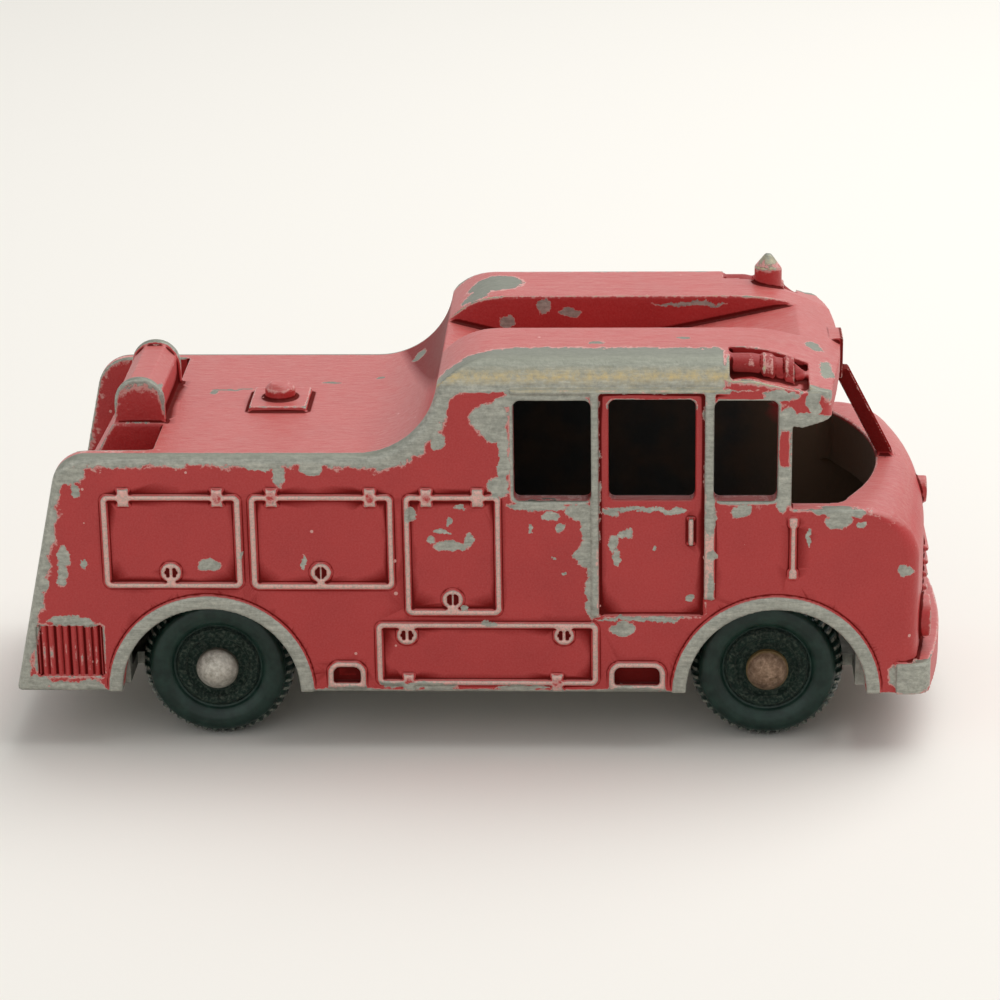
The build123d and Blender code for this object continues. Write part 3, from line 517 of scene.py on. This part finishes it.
# Wear adds up, and the enamel gives way where it passes a limit, made ragged by flakes of about 0.4 mm,
# with a pale rim round the metal
worn = add(tree, "ShaderNodeMath", {0: edges, 1: rubbed}, operation="ADD").outputs[0]
worn = add(tree, "ShaderNodeMath", {0: worn, 1: kept}, operation="SUBTRACT").outputs[0]
worn = add(tree, "ShaderNodeMath", {0: worn, 1: side_chip}, operation="ADD").outputs[0]
worn = add(tree, "ShaderNodeMath", {0: worn, 1: top_chip}, operation="ADD").outputs[0]
fine = add(
    tree, "ShaderNodeTexNoise", {"Vector": mapped, "Scale": 2.4, "Detail": 8.0, "Roughness": 0.66}
).outputs[0]
ragged = add(tree, "ShaderNodeMath", {0: fine, 1: 0.9, 2: worn}, operation="MULTIPLY_ADD").outputs[0]
bare = add(
    tree, "ShaderNodeMapRange", {"Value": ragged, "From Min": LIMIT - RIM_STEP, "From Max": LIMIT + RIM_STEP}
).outputs[0]
rim = add(
    tree, "ShaderNodeMapRange",
    {"Value": ragged, "From Min": LIMIT - 0.2, "From Max": LIMIT - 0.08, "To Max": 0.9},
).outputs[0]

# Enamel: crimson and half glossy, uneven over some 3 mm where it pooled, darker in the hollows with painted
# shade and grime. Its grain is finer than 0.1 mm and is drawn at that size to show
cloud = add(tree, "ShaderNodeTexNoise", {"Vector": mapped, "Scale": 0.35, "Detail": 3.0}).outputs[0]
red = add(tree, "ShaderNodeValToRGB", {"Fac": cloud})
set_ramp(red, [(0.3, linear("#AA2424")), (0.7, linear("#B42A29"))])
speckle = add(tree, "ShaderNodeTexNoise", {"Vector": mapped, "Scale": 9.0, "Detail": 4.0}).outputs[0]
grain = add(
    tree, "ShaderNodeMapRange", {"Value": speckle, "From Min": 0.35, "From Max": 0.75, "To Max": 0.5}
).outputs[0]
red = add(
    tree, "ShaderNodeMix", {"Factor": grain, 6: red.outputs[0], 7: linear("#BE4744")}, data_type="RGBA"
).outputs[2]
# Fine scratches 0.2 mm wide run along the deck and the roof and dull them; this pale mix on the faces that
# look up is also a painted sheen of the light from above
streaks = add(tree, "ShaderNodeVectorMath", {0: mapped, 1: (0.8, 5.0, 5.0)}, operation="MULTIPLY").outputs[0]
scratch = add(
    tree, "ShaderNodeTexNoise", {"Vector": streaks, "Scale": 1.0, "Detail": 6.0, "Roughness": 0.7}
).outputs[0]
scratch_and_sheen = add(
    tree, "ShaderNodeMapRange",
    {"Value": scratch, "From Min": 0.35, "From Max": 0.7, "To Min": 0.2, "To Max": 0.75},
).outputs[0]
scratch_and_sheen = add(tree, "ShaderNodeMath", {0: scratch_and_sheen, 1: on_top}, operation="MULTIPLY").outputs[0]
# Two places get neither the scratches nor the painted sheen, and get painted shade instead: the notches with
# the hose nozzles,
from_nozzle = add(tree, "ShaderNodeMath", {0: at_x, 1: NOZZLE_X}, operation="SUBTRACT").outputs[0]
from_nozzle = add(tree, "ShaderNodeMath", {0: from_nozzle}, operation="ABSOLUTE").outputs[0]
notch_shade = add(
    tree, "ShaderNodeMapRange", {"Value": from_nozzle, "From Min": 2.45, "From Max": 2.3}
).outputs[0]
notch_side = add(tree, "ShaderNodeMapRange", {"Value": across, "From Min": 7.05, "From Max": 7.2}).outputs[0]
notch_shade = add(tree, "ShaderNodeMath", {0: notch_shade, 1: notch_side}, operation="MULTIPLY").outputs[0]
notch_floor = add(tree, "ShaderNodeMapRange", {"Value": at_z, "From Min": 23.75, "From Max": 23.9}).outputs[0]
notch_shade = add(tree, "ShaderNodeMath", {0: notch_shade, 1: notch_floor}, operation="MULTIPLY").outputs[0]
# and the steep part of the ramp, which begins further back on the left and ends at the roof's lip
ramp_shade = add(tree, "ShaderNodeMath", {0: at_y, 1: 0.2, 2: at_x}, operation="MULTIPLY_ADD").outputs[0]
ramp_shade = add(tree, "ShaderNodeMapRange", {"Value": ramp_shade, "From Min": -4.1, "From Max": -3.5}).outputs[0]
before_lip = add(tree, "ShaderNodeMapRange", {"Value": at_x, "From Min": -2.2, "From Max": -2.35}).outputs[0]
ramp_shade = add(tree, "ShaderNodeMath", {0: ramp_shade, 1: before_lip}, operation="MULTIPLY").outputs[0]
ramp_shade = add(tree, "ShaderNodeMath", {0: ramp_shade, 1: on_side}, operation="SUBTRACT", use_clamp=True).outputs[0]
spared = add(tree, "ShaderNodeMath", {0: 1.0, 1: notch_shade}, operation="SUBTRACT").outputs[0]
spared = add(tree, "ShaderNodeMath", {0: spared, 1: ramp_shade}, operation="SUBTRACT", use_clamp=True).outputs[0]
scratch_and_sheen = add(tree, "ShaderNodeMath", {0: scratch_and_sheen, 1: spared}, operation="MULTIPLY").outputs[0]
red = add(
    tree, "ShaderNodeMix", {"Factor": scratch_and_sheen, 6: red, 7: linear("#C27B74")}, data_type="RGBA"
).outputs[2]
# Painted shade with some grime darkens the hollows; the notches and the ramp get painted shade only
shade_and_grime = add(
    tree, "ShaderNodeMapRange", {"Value": hollow_value, "From Min": 0.013, "From Max": 0.034, "To Max": 0.85}
).outputs[0]
shade_and_grime = add(tree, "ShaderNodeMath", {0: notch_shade, 1: 0.35, 2: shade_and_grime}, operation="MULTIPLY_ADD").outputs[0]
# Painted shade on the steep part of the ramp, which faces away from the light
ramp_shade = add(tree, "ShaderNodeMath", {0: ramp_shade, 1: 0.6}, operation="MULTIPLY").outputs[0]
shade_and_grime = add(tree, "ShaderNodeMath", {0: shade_and_grime, 1: ramp_shade}, operation="MAXIMUM").outputs[0]
# The same dark red also goes on the windscreen bar and the headboard's middle: central, foremost and above
# the sill
barred = add(
    tree, "ShaderNodeMapRange", {"Value": across, "From Min": 1.3, "From Max": 1.15, "To Max": 0.72}
).outputs[0]
foremost = add(tree, "ShaderNodeMapRange", {"Value": at_x, "From Min": 22.1, "From Max": 22.2}).outputs[0]
above_sill = add(tree, "ShaderNodeMapRange", {"Value": at_z, "From Min": 15.9, "From Max": 16.1}).outputs[0]
barred = add(tree, "ShaderNodeMath", {0: barred, 1: foremost}, operation="MULTIPLY").outputs[0]
barred = add(tree, "ShaderNodeMath", {0: barred, 1: above_sill}, operation="MULTIPLY").outputs[0]
shade_and_grime = add(tree, "ShaderNodeMath", {0: shade_and_grime, 1: barred}, operation="MAXIMUM").outputs[0]
red = add(
    tree, "ShaderNodeMix", {"Factor": shade_and_grime, 6: red, 7: linear("#481412")}, data_type="RGBA"
).outputs[2]
# Pin-point flakes, in one 1.25 mm cell out of five
cells = add(tree, "ShaderNodeTexVoronoi", {"Vector": mapped, "Scale": 0.8})
picked = add(tree, "ShaderNodeSeparateXYZ", {0: cells.outputs["Color"]}).outputs[0]
picked = add(
    tree, "ShaderNodeMapRange", {"Value": picked, "From Min": 0.8, "From Max": 1.0, "To Max": 0.11}
).outputs[0]
flake = add(
    tree, "ShaderNodeMath", {0: cells.outputs["Distance"], 1: picked}, operation="LESS_THAN"
).outputs[0]
rim = add(tree, "ShaderNodeMath", {0: flake, 1: rim}, operation="MAXIMUM").outputs[0]
red = add(tree, "ShaderNodeMix", {"Factor": rim, 6: red, 7: linear("#D59C94")}, data_type="RGBA").outputs[2]

# Zinc: flat grey with a green cast, mottled by oxide at 0.3 mm; painted shade where it faces up,
# and a painted brassy glint low on the roof's rounded edges
blotch = add(
    tree, "ShaderNodeTexNoise", {"Vector": mapped, "Scale": 3.5, "Detail": 8.0, "Roughness": 0.75}
).outputs[0]
mottle = add(tree, "ShaderNodeMath", {0: blotch, 1: scratch}, operation="ADD").outputs[0]
mottle = add(tree, "ShaderNodeMath", {0: mottle, 1: 0.5}, operation="MULTIPLY").outputs[0]
zinc = add(tree, "ShaderNodeValToRGB", {"Fac": mottle})
set_ramp(zinc, [(0.36, linear("#82837A")), (0.5, linear("#9D9E94")), (0.64, linear("#BBBAAE"))])
# Painted shade: the zinc is made darker on faces that look up
up_facing_shade = add(
    tree, "ShaderNodeMapRange", {"Value": facing_up, "From Min": 0.3, "From Max": 0.9, "To Max": 0.72}
).outputs[0]
zinc = add(
    tree, "ShaderNodeMix", {"Factor": up_facing_shade, 6: zinc.outputs[0], 7: linear("#66695B")}, data_type="RGBA"
).outputs[2]
# Painted glint: a brassy highlight where the roof's rounded edge turns from the side to the top
painted_glint = add(
    tree, "ShaderNodeTexNoise", {"Vector": mapped, "Scale": 2.0, "Detail": 6.0, "Roughness": 0.8}
).outputs[0]
rising = add(tree, "ShaderNodeMapRange", {"Value": facing_up, "From Min": 0.12, "From Max": 0.4}).outputs[0]
falling = add(tree, "ShaderNodeMapRange", {"Value": facing_up, "From Min": 0.75, "From Max": 0.45}).outputs[0]
rounded = add(tree, "ShaderNodeMath", {0: rising, 1: falling}, operation="MULTIPLY").outputs[0]
rounded = add(tree, "ShaderNodeMath", {0: rounded, 1: high}, operation="MULTIPLY").outputs[0]
painted_glint = add(
    tree, "ShaderNodeMapRange",
    {"Value": painted_glint, "From Min": 0.4, "From Max": 0.65, "To Min": 0.15, "To Max": 0.9},
).outputs[0]
painted_glint = add(tree, "ShaderNodeMath", {0: painted_glint, 1: rounded}, operation="MULTIPLY").outputs[0]
zinc = add(
    tree, "ShaderNodeMix", {"Factor": painted_glint, 6: zinc, 7: linear("#C4AD78")}, data_type="RGBA"
).outputs[2]
# On the fine raised lines some of the colour is left in the pores
thin_line = add(tree, "ShaderNodeMath", {0: 1.0, 1: lip}, operation="SUBTRACT").outputs[0]
thin_line = add(tree, "ShaderNodeMath", {0: thin_line, 1: raised}, operation="MULTIPLY").outputs[0]
stain = add(
    tree, "ShaderNodeMapRange",
    {"Value": speckle, "From Min": 0.35, "From Max": 0.6, "To Min": 0.3, "To Max": 0.95},
).outputs[0]
unflaked = add(tree, "ShaderNodeMapRange", {"Value": side_chip, "From Min": 0.3, "From Max": 0.0}).outputs[0]
thin_line = add(tree, "ShaderNodeMath", {0: thin_line, 1: unflaked}, operation="MULTIPLY").outputs[0]
stain = add(tree, "ShaderNodeMath", {0: thin_line, 1: stain}, operation="MULTIPLY").outputs[0]
zinc = add(
    tree, "ShaderNodeMix", {"Factor": stain, 6: zinc, 7: linear("#DDAAA1")}, data_type="RGBA"
).outputs[2]

# Inside, the casting is painted dark as shade; towards the cab's open front its walls get a painted brown
# glow of light
colour = add(tree, "ShaderNodeMix", {"Factor": bare, 6: red, 7: zinc}, data_type="RGBA").outputs[2]
interior_shade = add(tree, "ShaderNodeValToRGB", {"Fac": cloud})
set_ramp(interior_shade, [(0.4, linear("#33322F")), (0.65, linear("#4A3A2E"))])
inner_light = add(
    tree, "ShaderNodeMapRange", {"Value": at_x, "From Min": 16.0, "From Max": 20.0, "To Max": 0.8}
).outputs[0]
interior_shade = add(
    tree, "ShaderNodeMix", {"Factor": inner_light, 6: interior_shade.outputs[0], 7: linear("#6E5640")}, data_type="RGBA"
).outputs[2]
colour = add(
    tree, "ShaderNodeMix", {"Factor": inside_value, 6: colour, 7: interior_shade}, data_type="RGBA"
).outputs[2]
outside = add(tree, "ShaderNodeMath", {0: 1.0, 1: inside_value}, operation="SUBTRACT").outputs[0]
bare = add(tree, "ShaderNodeMath", {0: bare, 1: outside}, operation="MULTIPLY").outputs[0]
# Half-gloss enamel against duller metal, both flatter inside; the painted shade and grime turn the enamel's
# specular level down
roughness = add(tree, "ShaderNodeMapRange", {"Value": bare, "To Min": 0.34, "To Max": 0.45}).outputs[0]
roughness = add(
    tree, "ShaderNodeMath", {0: blotch, 1: 0.18, 2: roughness}, operation="MULTIPLY_ADD"
).outputs[0]
roughness = add(
    tree, "ShaderNodeMath", {0: inside_value, 1: 0.4, 2: roughness}, operation="MULTIPLY_ADD"
).outputs[0]
metal = add(tree, "ShaderNodeMath", {0: bare, 1: 0.65}, operation="MULTIPLY").outputs[0]
sheen = add(
    tree, "ShaderNodeMapRange", {"Value": shade_and_grime, "From Max": 0.65, "To Min": 0.5, "To Max": 0.0}
).outputs[0]
# The bare metal lies 0.05 mm under the enamel, and both have a fine grain
relief = add(tree, "ShaderNodeMath", {0: bare, 1: -0.05}, operation="MULTIPLY").outputs[0]
relief = add(tree, "ShaderNodeMath", {0: speckle, 1: 0.012, 2: relief}, operation="MULTIPLY_ADD").outputs[0]
relief = add(tree, "ShaderNodeMath", {0: fine, 1: 0.04, 2: relief}, operation="MULTIPLY_ADD").outputs[0]
bump = add(tree, "ShaderNodeBump", {"Strength": 1.0, "Distance": MM, "Height": relief}).outputs[0]
shader = add(
    tree, "ShaderNodeBsdfPrincipled",
    {
        "Base Color": colour, "Metallic": metal, "Roughness": roughness,
        "Specular IOR Level": sheen, "Normal": bump,
    },
)
add(tree, "ShaderNodeOutputMaterial", {"Surface": shader.outputs[0]})
coat(casting, enamel)
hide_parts("body")
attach(casting, "chassis")


# ---------------------------------------------------------------------------
# Base plate: a bare zinc casting, never painted, dull and a little blotched,
# held by the body's two posts, whose ends are spun over in its counterbores.
# ---------------------------------------------------------------------------
# Cast zinc with its skin on: flat and softly metallic, blotched over about 1 mm
plate_zinc, tree = new_material("bare_cast_zinc")
mapped = millimetres(tree)
blotch = add(
    tree, "ShaderNodeTexNoise", {"Vector": mapped, "Scale": 0.9, "Detail": 8.0, "Roughness": 0.7}
).outputs[0]
zinc = add(tree, "ShaderNodeValToRGB", {"Fac": blotch})
set_ramp(zinc, [(0.3, linear("#5F605A")), (0.5, linear("#84857C")), (0.72, linear("#A2A39A"))])
roughness = add(tree, "ShaderNodeMapRange", {"Value": blotch, "To Min": 0.4, "To Max": 0.65}).outputs[0]
bump = add(tree, "ShaderNodeBump", {"Strength": 1.0, "Distance": 0.06 * MM, "Height": blotch}).outputs[0]
shader = add(
    tree, "ShaderNodeBsdfPrincipled",
    {"Base Color": zinc.outputs[0], "Metallic": 0.6, "Roughness": roughness, "Normal": bump},
)
add(tree, "ShaderNodeOutputMaterial", {"Surface": shader.outputs[0]})
coat(nodes["base_plate"], plate_zinc)


# ---------------------------------------------------------------------------
# Axles: plain steel pins whose domed heads were spun over outside the wheels.
# The rear heads are dull grey, and the front ones have gone brown with rust.
# ---------------------------------------------------------------------------
HEAD_RIM = 8.95  # how far out the rim of a head's dome lies from the centre plane


def axle_steel(name, shades, ring):
    """Old drawn steel, dull but metallic: three shades in blotches of 0.3 mm, and a stain round each head."""
    steel, tree = new_material(name)
    mapped = millimetres(tree)
    blotch = add(
        tree, "ShaderNodeTexNoise", {"Vector": mapped, "Scale": 3.2, "Detail": 8.0, "Roughness": 0.75}
    ).outputs[0]
    shade = add(tree, "ShaderNodeValToRGB", {"Fac": blotch})
    set_ramp(shade, [(0.34, linear(shades[0])), (0.5, linear(shades[1])), (0.66, linear(shades[2]))])
    out = add(tree, "ShaderNodeSeparateXYZ", {0: mapped}).outputs[1]
    out = add(tree, "ShaderNodeMath", {0: out}, operation="ABSOLUTE").outputs[0]
    stained = add(
        tree, "ShaderNodeMapRange", {"Value": out, "From Min": HEAD_RIM, "From Max": 8.7, "To Max": 0.8}
    ).outputs[0]
    colour = add(
        tree, "ShaderNodeMix", {"Factor": stained, 6: shade.outputs[0], 7: linear(ring)}, data_type="RGBA"
    ).outputs[2]
    roughness = add(tree, "ShaderNodeMapRange", {"Value": blotch, "To Min": 0.35, "To Max": 0.6}).outputs[0]
    bump = add(tree, "ShaderNodeBump", {"Strength": 1.0, "Distance": 0.09 * MM, "Height": blotch}).outputs[0]
    shader = add(
        tree, "ShaderNodeBsdfPrincipled",
        {"Base Color": colour, "Metallic": 0.7, "Roughness": roughness, "Normal": bump},
    )
    add(tree, "ShaderNodeOutputMaterial", {"Surface": shader.outputs[0]})
    return steel


coat(nodes["rear_axle"], axle_steel("dull_grey_steel", ("#8F8B80", "#B5B0A5", "#CFCBC0"), "#6F6C5E"))
coat(nodes["front_axle"], axle_steel("rusted_steel", ("#5A4636", "#836B57", "#A78E78"), "#A08A55"))


# ---------------------------------------------------------------------------
# Wheels: one greenish-black plastic moulding each, turning freely on the axle.
# A swelling tyre with fine teeth round its shoulder, a groove, and a stepped
# hub whose corners hold years of dried grime.
# ---------------------------------------------------------------------------
TREAD_TEETH = 48
TREAD_DEPTH, TREAD_SIDE_DEPTH = 0.12, 0.09  # how deep the gaps between teeth are, inwards and sideways
ROUND_STEPS = TREAD_TEETH * 10
PROFILE_STEP = 0.06
BORE_RADIUS, TYRE_RADIUS = 0.71, 4.70
# Half section of the outer face: (radius, how far it stands back from the wheel's outer face), in mm
TYRE_SECTION = [
    (4.70, 1.50), (4.70, 1.10), (4.62, 0.82), (4.50, 0.62), (4.38, 0.50), (4.28, 0.44), (4.16, 0.18),
    (4.00, 0.06), (3.75, 0.00), (3.40, 0.02), (3.05, 0.14), (2.85, 0.30), (2.74, 0.48), (2.66, 0.60),
    (2.58, 0.56), (2.52, 0.40), (2.40, 0.34), (2.10, 0.34), (1.98, 0.36), (1.93, 0.50), (1.80, 0.55),
    (1.62, 0.53), (1.55, 0.42), (1.35, 0.38), (1.00, 0.38), (0.72, 0.40), (BORE_RADIUS, 0.8),
]


def finer(section, step):
    """The section resampled at equal steps along its length, its corners eased by a short running mean."""
    points = np.array(section)
    length = np.concatenate([[0], np.cumsum(np.hypot(*np.diff(points, axis=0).T))])
    along = np.linspace(0, length[-1], int(length[-1] / step))
    dense = np.column_stack([np.interp(along, length, points[:, i]) for i in range(2)])
    eased = dense.copy()
    eased[1:-1] = (dense[:-2] + 2 * dense[1:-1] + dense[2:]) / 4
    return eased


def round_mesh(name, places):
    """A mesh over a grid of places (rows, columns, 3): each row is a ring, joined to the next by quads."""
    rows, columns = places.shape[:2]
    index = np.arange(rows * columns).reshape(rows, columns)
    ahead = np.roll(index, -1, axis=1)
    faces = np.stack([index[:-1], ahead[:-1], ahead[1:], index[1:]], axis=-1).reshape(-1, 4)
    mesh = bpy.data.meshes.new(name)
    mesh.from_pydata(places.reshape(-1, 3), [], faces)
    mesh.update()
    return mesh


# Moulded plastic: smooth and a little glossy on the tyre, with grains of dried grime of 0.2 mm in the hub
wheel_plastic, tree = new_material("black_moulded_plastic")
mapped = millimetres(tree)
radius_value = add(tree, "ShaderNodeAttribute", attribute_name="radius").outputs["Fac"]
tooth_value = add(tree, "ShaderNodeAttribute", attribute_name="tooth").outputs["Fac"]
crumb = add(
    tree, "ShaderNodeTexNoise", {"Vector": mapped, "Scale": 5.5, "Detail": 9.0, "Roughness": 0.75}
).outputs[0]
film = add(tree, "ShaderNodeTexNoise", {"Vector": mapped, "Scale": 1.2, "Detail": 5.0}).outputs[0]
black = add(tree, "ShaderNodeValToRGB", {"Fac": film})
set_ramp(black, [(0.35, linear("#11251F")), (0.65, linear("#1F372F"))])
in_hub = add(
    tree, "ShaderNodeMapRange", {"Value": radius_value, "From Min": 2.75, "From Max": 2.55}
).outputs[0]
crust = add(
    tree, "ShaderNodeMapRange", {"Value": crumb, "From Min": 0.47, "From Max": 0.62, "To Max": 0.65}
).outputs[0]
crust = add(tree, "ShaderNodeMath", {0: crust, 1: in_hub}, operation="MULTIPLY").outputs[0]
colour = add(
    tree, "ShaderNodeMix", {"Factor": crust, 6: black.outputs[0], 7: linear("#6E7A6C")}, data_type="RGBA"
).outputs[2]
# Dust sits on the teeth
dust = add(tree, "ShaderNodeMath", {0: tooth_value, 1: crumb}, operation="MULTIPLY").outputs[0]
dust = add(
    tree, "ShaderNodeMapRange", {"Value": dust, "From Min": 0.38, "From Max": 0.55, "To Max": 0.85}
).outputs[0]
colour = add(
    tree, "ShaderNodeMix", {"Factor": dust, 6: colour, 7: linear("#8E9186")}, data_type="RGBA"
).outputs[2]
roughness = add(tree, "ShaderNodeMapRange", {"Value": crumb, "To Min": 0.16, "To Max": 0.5}).outputs[0]
rough_hub = add(tree, "ShaderNodeMath", {0: in_hub, 1: crumb}, operation="MULTIPLY").outputs[0]
height = add(tree, "ShaderNodeMath", {0: rough_hub, 1: 0.35}, operation="MULTIPLY").outputs[0]
height = add(tree, "ShaderNodeMath", {0: crumb, 1: 0.02, 2: height}, operation="MULTIPLY_ADD").outputs[0]
bump = add(tree, "ShaderNodeBump", {"Strength": 1.0, "Distance": MM, "Height": height}).outputs[0]
shader = add(
    tree, "ShaderNodeBsdfPrincipled",
    {"Base Color": colour, "Roughness": roughness, "Specular IOR Level": 0.28, "Normal": bump},
)
add(tree, "ShaderNodeOutputMaterial", {"Surface": shader.outputs[0]})

for node_name in ("wheel_front_right", "wheel_front_left", "wheel_rear_right", "wheel_rear_left"):
    low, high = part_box(node_name)
    side = 1 if (low[1] + high[1]) > 0 else -1
    outer = max(abs(low[1]), abs(high[1])) / MM
    inner = min(abs(low[1]), abs(high[1])) / MM
    width = outer - inner
    axle_x, axle_z = (low[0] + high[0]) / 2 / MM, (low[2] + high[2]) / 2 / MM
    # The back is flat with a small bevel, and the tread runs straight from there to the shoulder
    back = [(BORE_RADIUS, width), (4.5, width), (4.68, width - 0.15), (TYRE_RADIUS, 1.55)]
    section = np.concatenate([np.array(back), finer(TYRE_SECTION, PROFILE_STEP)])
    radius = section[:, 0][:, None]
    depth = section[:, 1][:, None]
    angle = np.linspace(0, 2 * np.pi, ROUND_STEPS, endpoint=False)[None, :]
    # Teeth: a sine round the wheel, clipped to steep flanks, in the shoulder's band of radii and depths
    wave = np.clip(2.2 * np.sin(TREAD_TEETH * angle), -1, 1) / 2 + 0.5
    band = np.clip((radius - 4.2) / 0.1, 0, 1) * np.clip((1.45 - depth) / 0.15, 0, 1)
    cut = radius - TREAD_DEPTH * band * (1 - wave)
    set_back = outer - depth - TREAD_SIDE_DEPTH * band * (1 - wave)
    places = np.stack(
        [axle_x + cut * np.cos(angle), side * set_back * np.ones_like(angle), axle_z + cut * np.sin(angle)],
        axis=-1,
    )
    mesh = round_mesh(f"{node_name}_moulding", places * MM)
    if side > 0:
        mesh.flip_normals()
    store(mesh, "radius", (radius * np.ones_like(angle)).ravel())
    store(mesh, "tooth", (band * wave).ravel())
    shade_smooth(mesh)
    moulding = new_object(f"{node_name}_moulding", mesh)
    coat(moulding, wheel_plastic)
    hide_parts(node_name)
    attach(moulding, node_name)


# ---------------------------------------------------------------------------
# Studio: a pale floor that keeps the shadow, a white surround, and soft light
# from above and a little from the front.
# ---------------------------------------------------------------------------
FLOOR_REACH = 1.5  # m, from the middle to each edge
LAMP_DISTANCE = 0.4  # m
LENS = 121  # mm, on a frame 36 mm wide

floor_paint, tree = new_material("pale_studio_floor")
pale = add(tree, "ShaderNodeBsdfDiffuse", {"Color": linear("#F4F1EA")})
add(tree, "ShaderNodeOutputMaterial", {"Surface": pale.outputs[0]})
corners = FLOOR_REACH * np.array([[-1, -1, 0], [1, -1, 0], [1, 1, 0], [-1, 1, 0]])
floor_mesh = bpy.data.meshes.new("studio_floor")
floor_mesh.from_pydata(corners, [], [(0, 1, 2, 3)])
floor = new_object("studio_floor", floor_mesh)
coat(floor, floor_paint)

world = bpy.data.worlds.new("white_surround")
world.use_nodes = True
world.node_tree.nodes.clear()
tree = world.node_tree
path = add(tree, "ShaderNodeLightPath").outputs
seen = add(
    tree, "ShaderNodeMath", {0: path["Is Camera Ray"], 1: path["Is Glossy Ray"]}, operation="MAXIMUM"
).outputs[0]
strength = add(tree, "ShaderNodeMapRange", {"Value": seen, "To Min": 0.42, "To Max": 1.0}).outputs[0]
surround = add(tree, "ShaderNodeBackground", {"Color": linear("#FFFFFF"), "Strength": strength})
add(tree, "ShaderNodeOutputWorld", {"Surface": surround.outputs[0]})
bpy.context.scene.world = world

# Each lamp and the camera look at one point, from a direction and a distance
target = Vector((0.95, 0.0, 12.62)) * MM
for lamp_name, direction, size, power in (
    ("sky_panel", (0.45, 0.3, 1.0), 0.4, 1.5),
    ("front_panel", (-0.5, -1.0, 0.5), 0.3, 0.15),
):
    lamp = bpy.data.lights.new(lamp_name, "AREA")
    lamp.size = size
    lamp.energy = power
    away = Vector(direction).normalized()
    holder = new_object(lamp_name, lamp)
    holder.location = target + away * LAMP_DISTANCE
    holder.rotation_mode = "QUATERNION"
    holder.rotation_quaternion = away.to_track_quat("Z", "Y")

camera_data = bpy.data.cameras.new("camera")
camera_data.sensor_width = 36
camera_data.lens = LENS
camera_data.clip_start = 0.01
camera = new_object("camera", camera_data)
azimuth, elevation, roll, distance = np.radians(2.65), np.radians(20.5), np.radians(-0.9), 213 * MM
away = Vector((np.sin(azimuth) * np.cos(elevation), -np.cos(azimuth) * np.cos(elevation), np.sin(elevation)))
camera.rotation_mode = "QUATERNION"
camera.location = target + away * distance
camera.rotation_quaternion = away.to_track_quat("Z", "Y") @ Matrix.Rotation(roll, 3, "Z").to_quaternion()
bpy.context.scene.camera = camera
bpy.context.scene.view_settings.view_transform = "Standard"
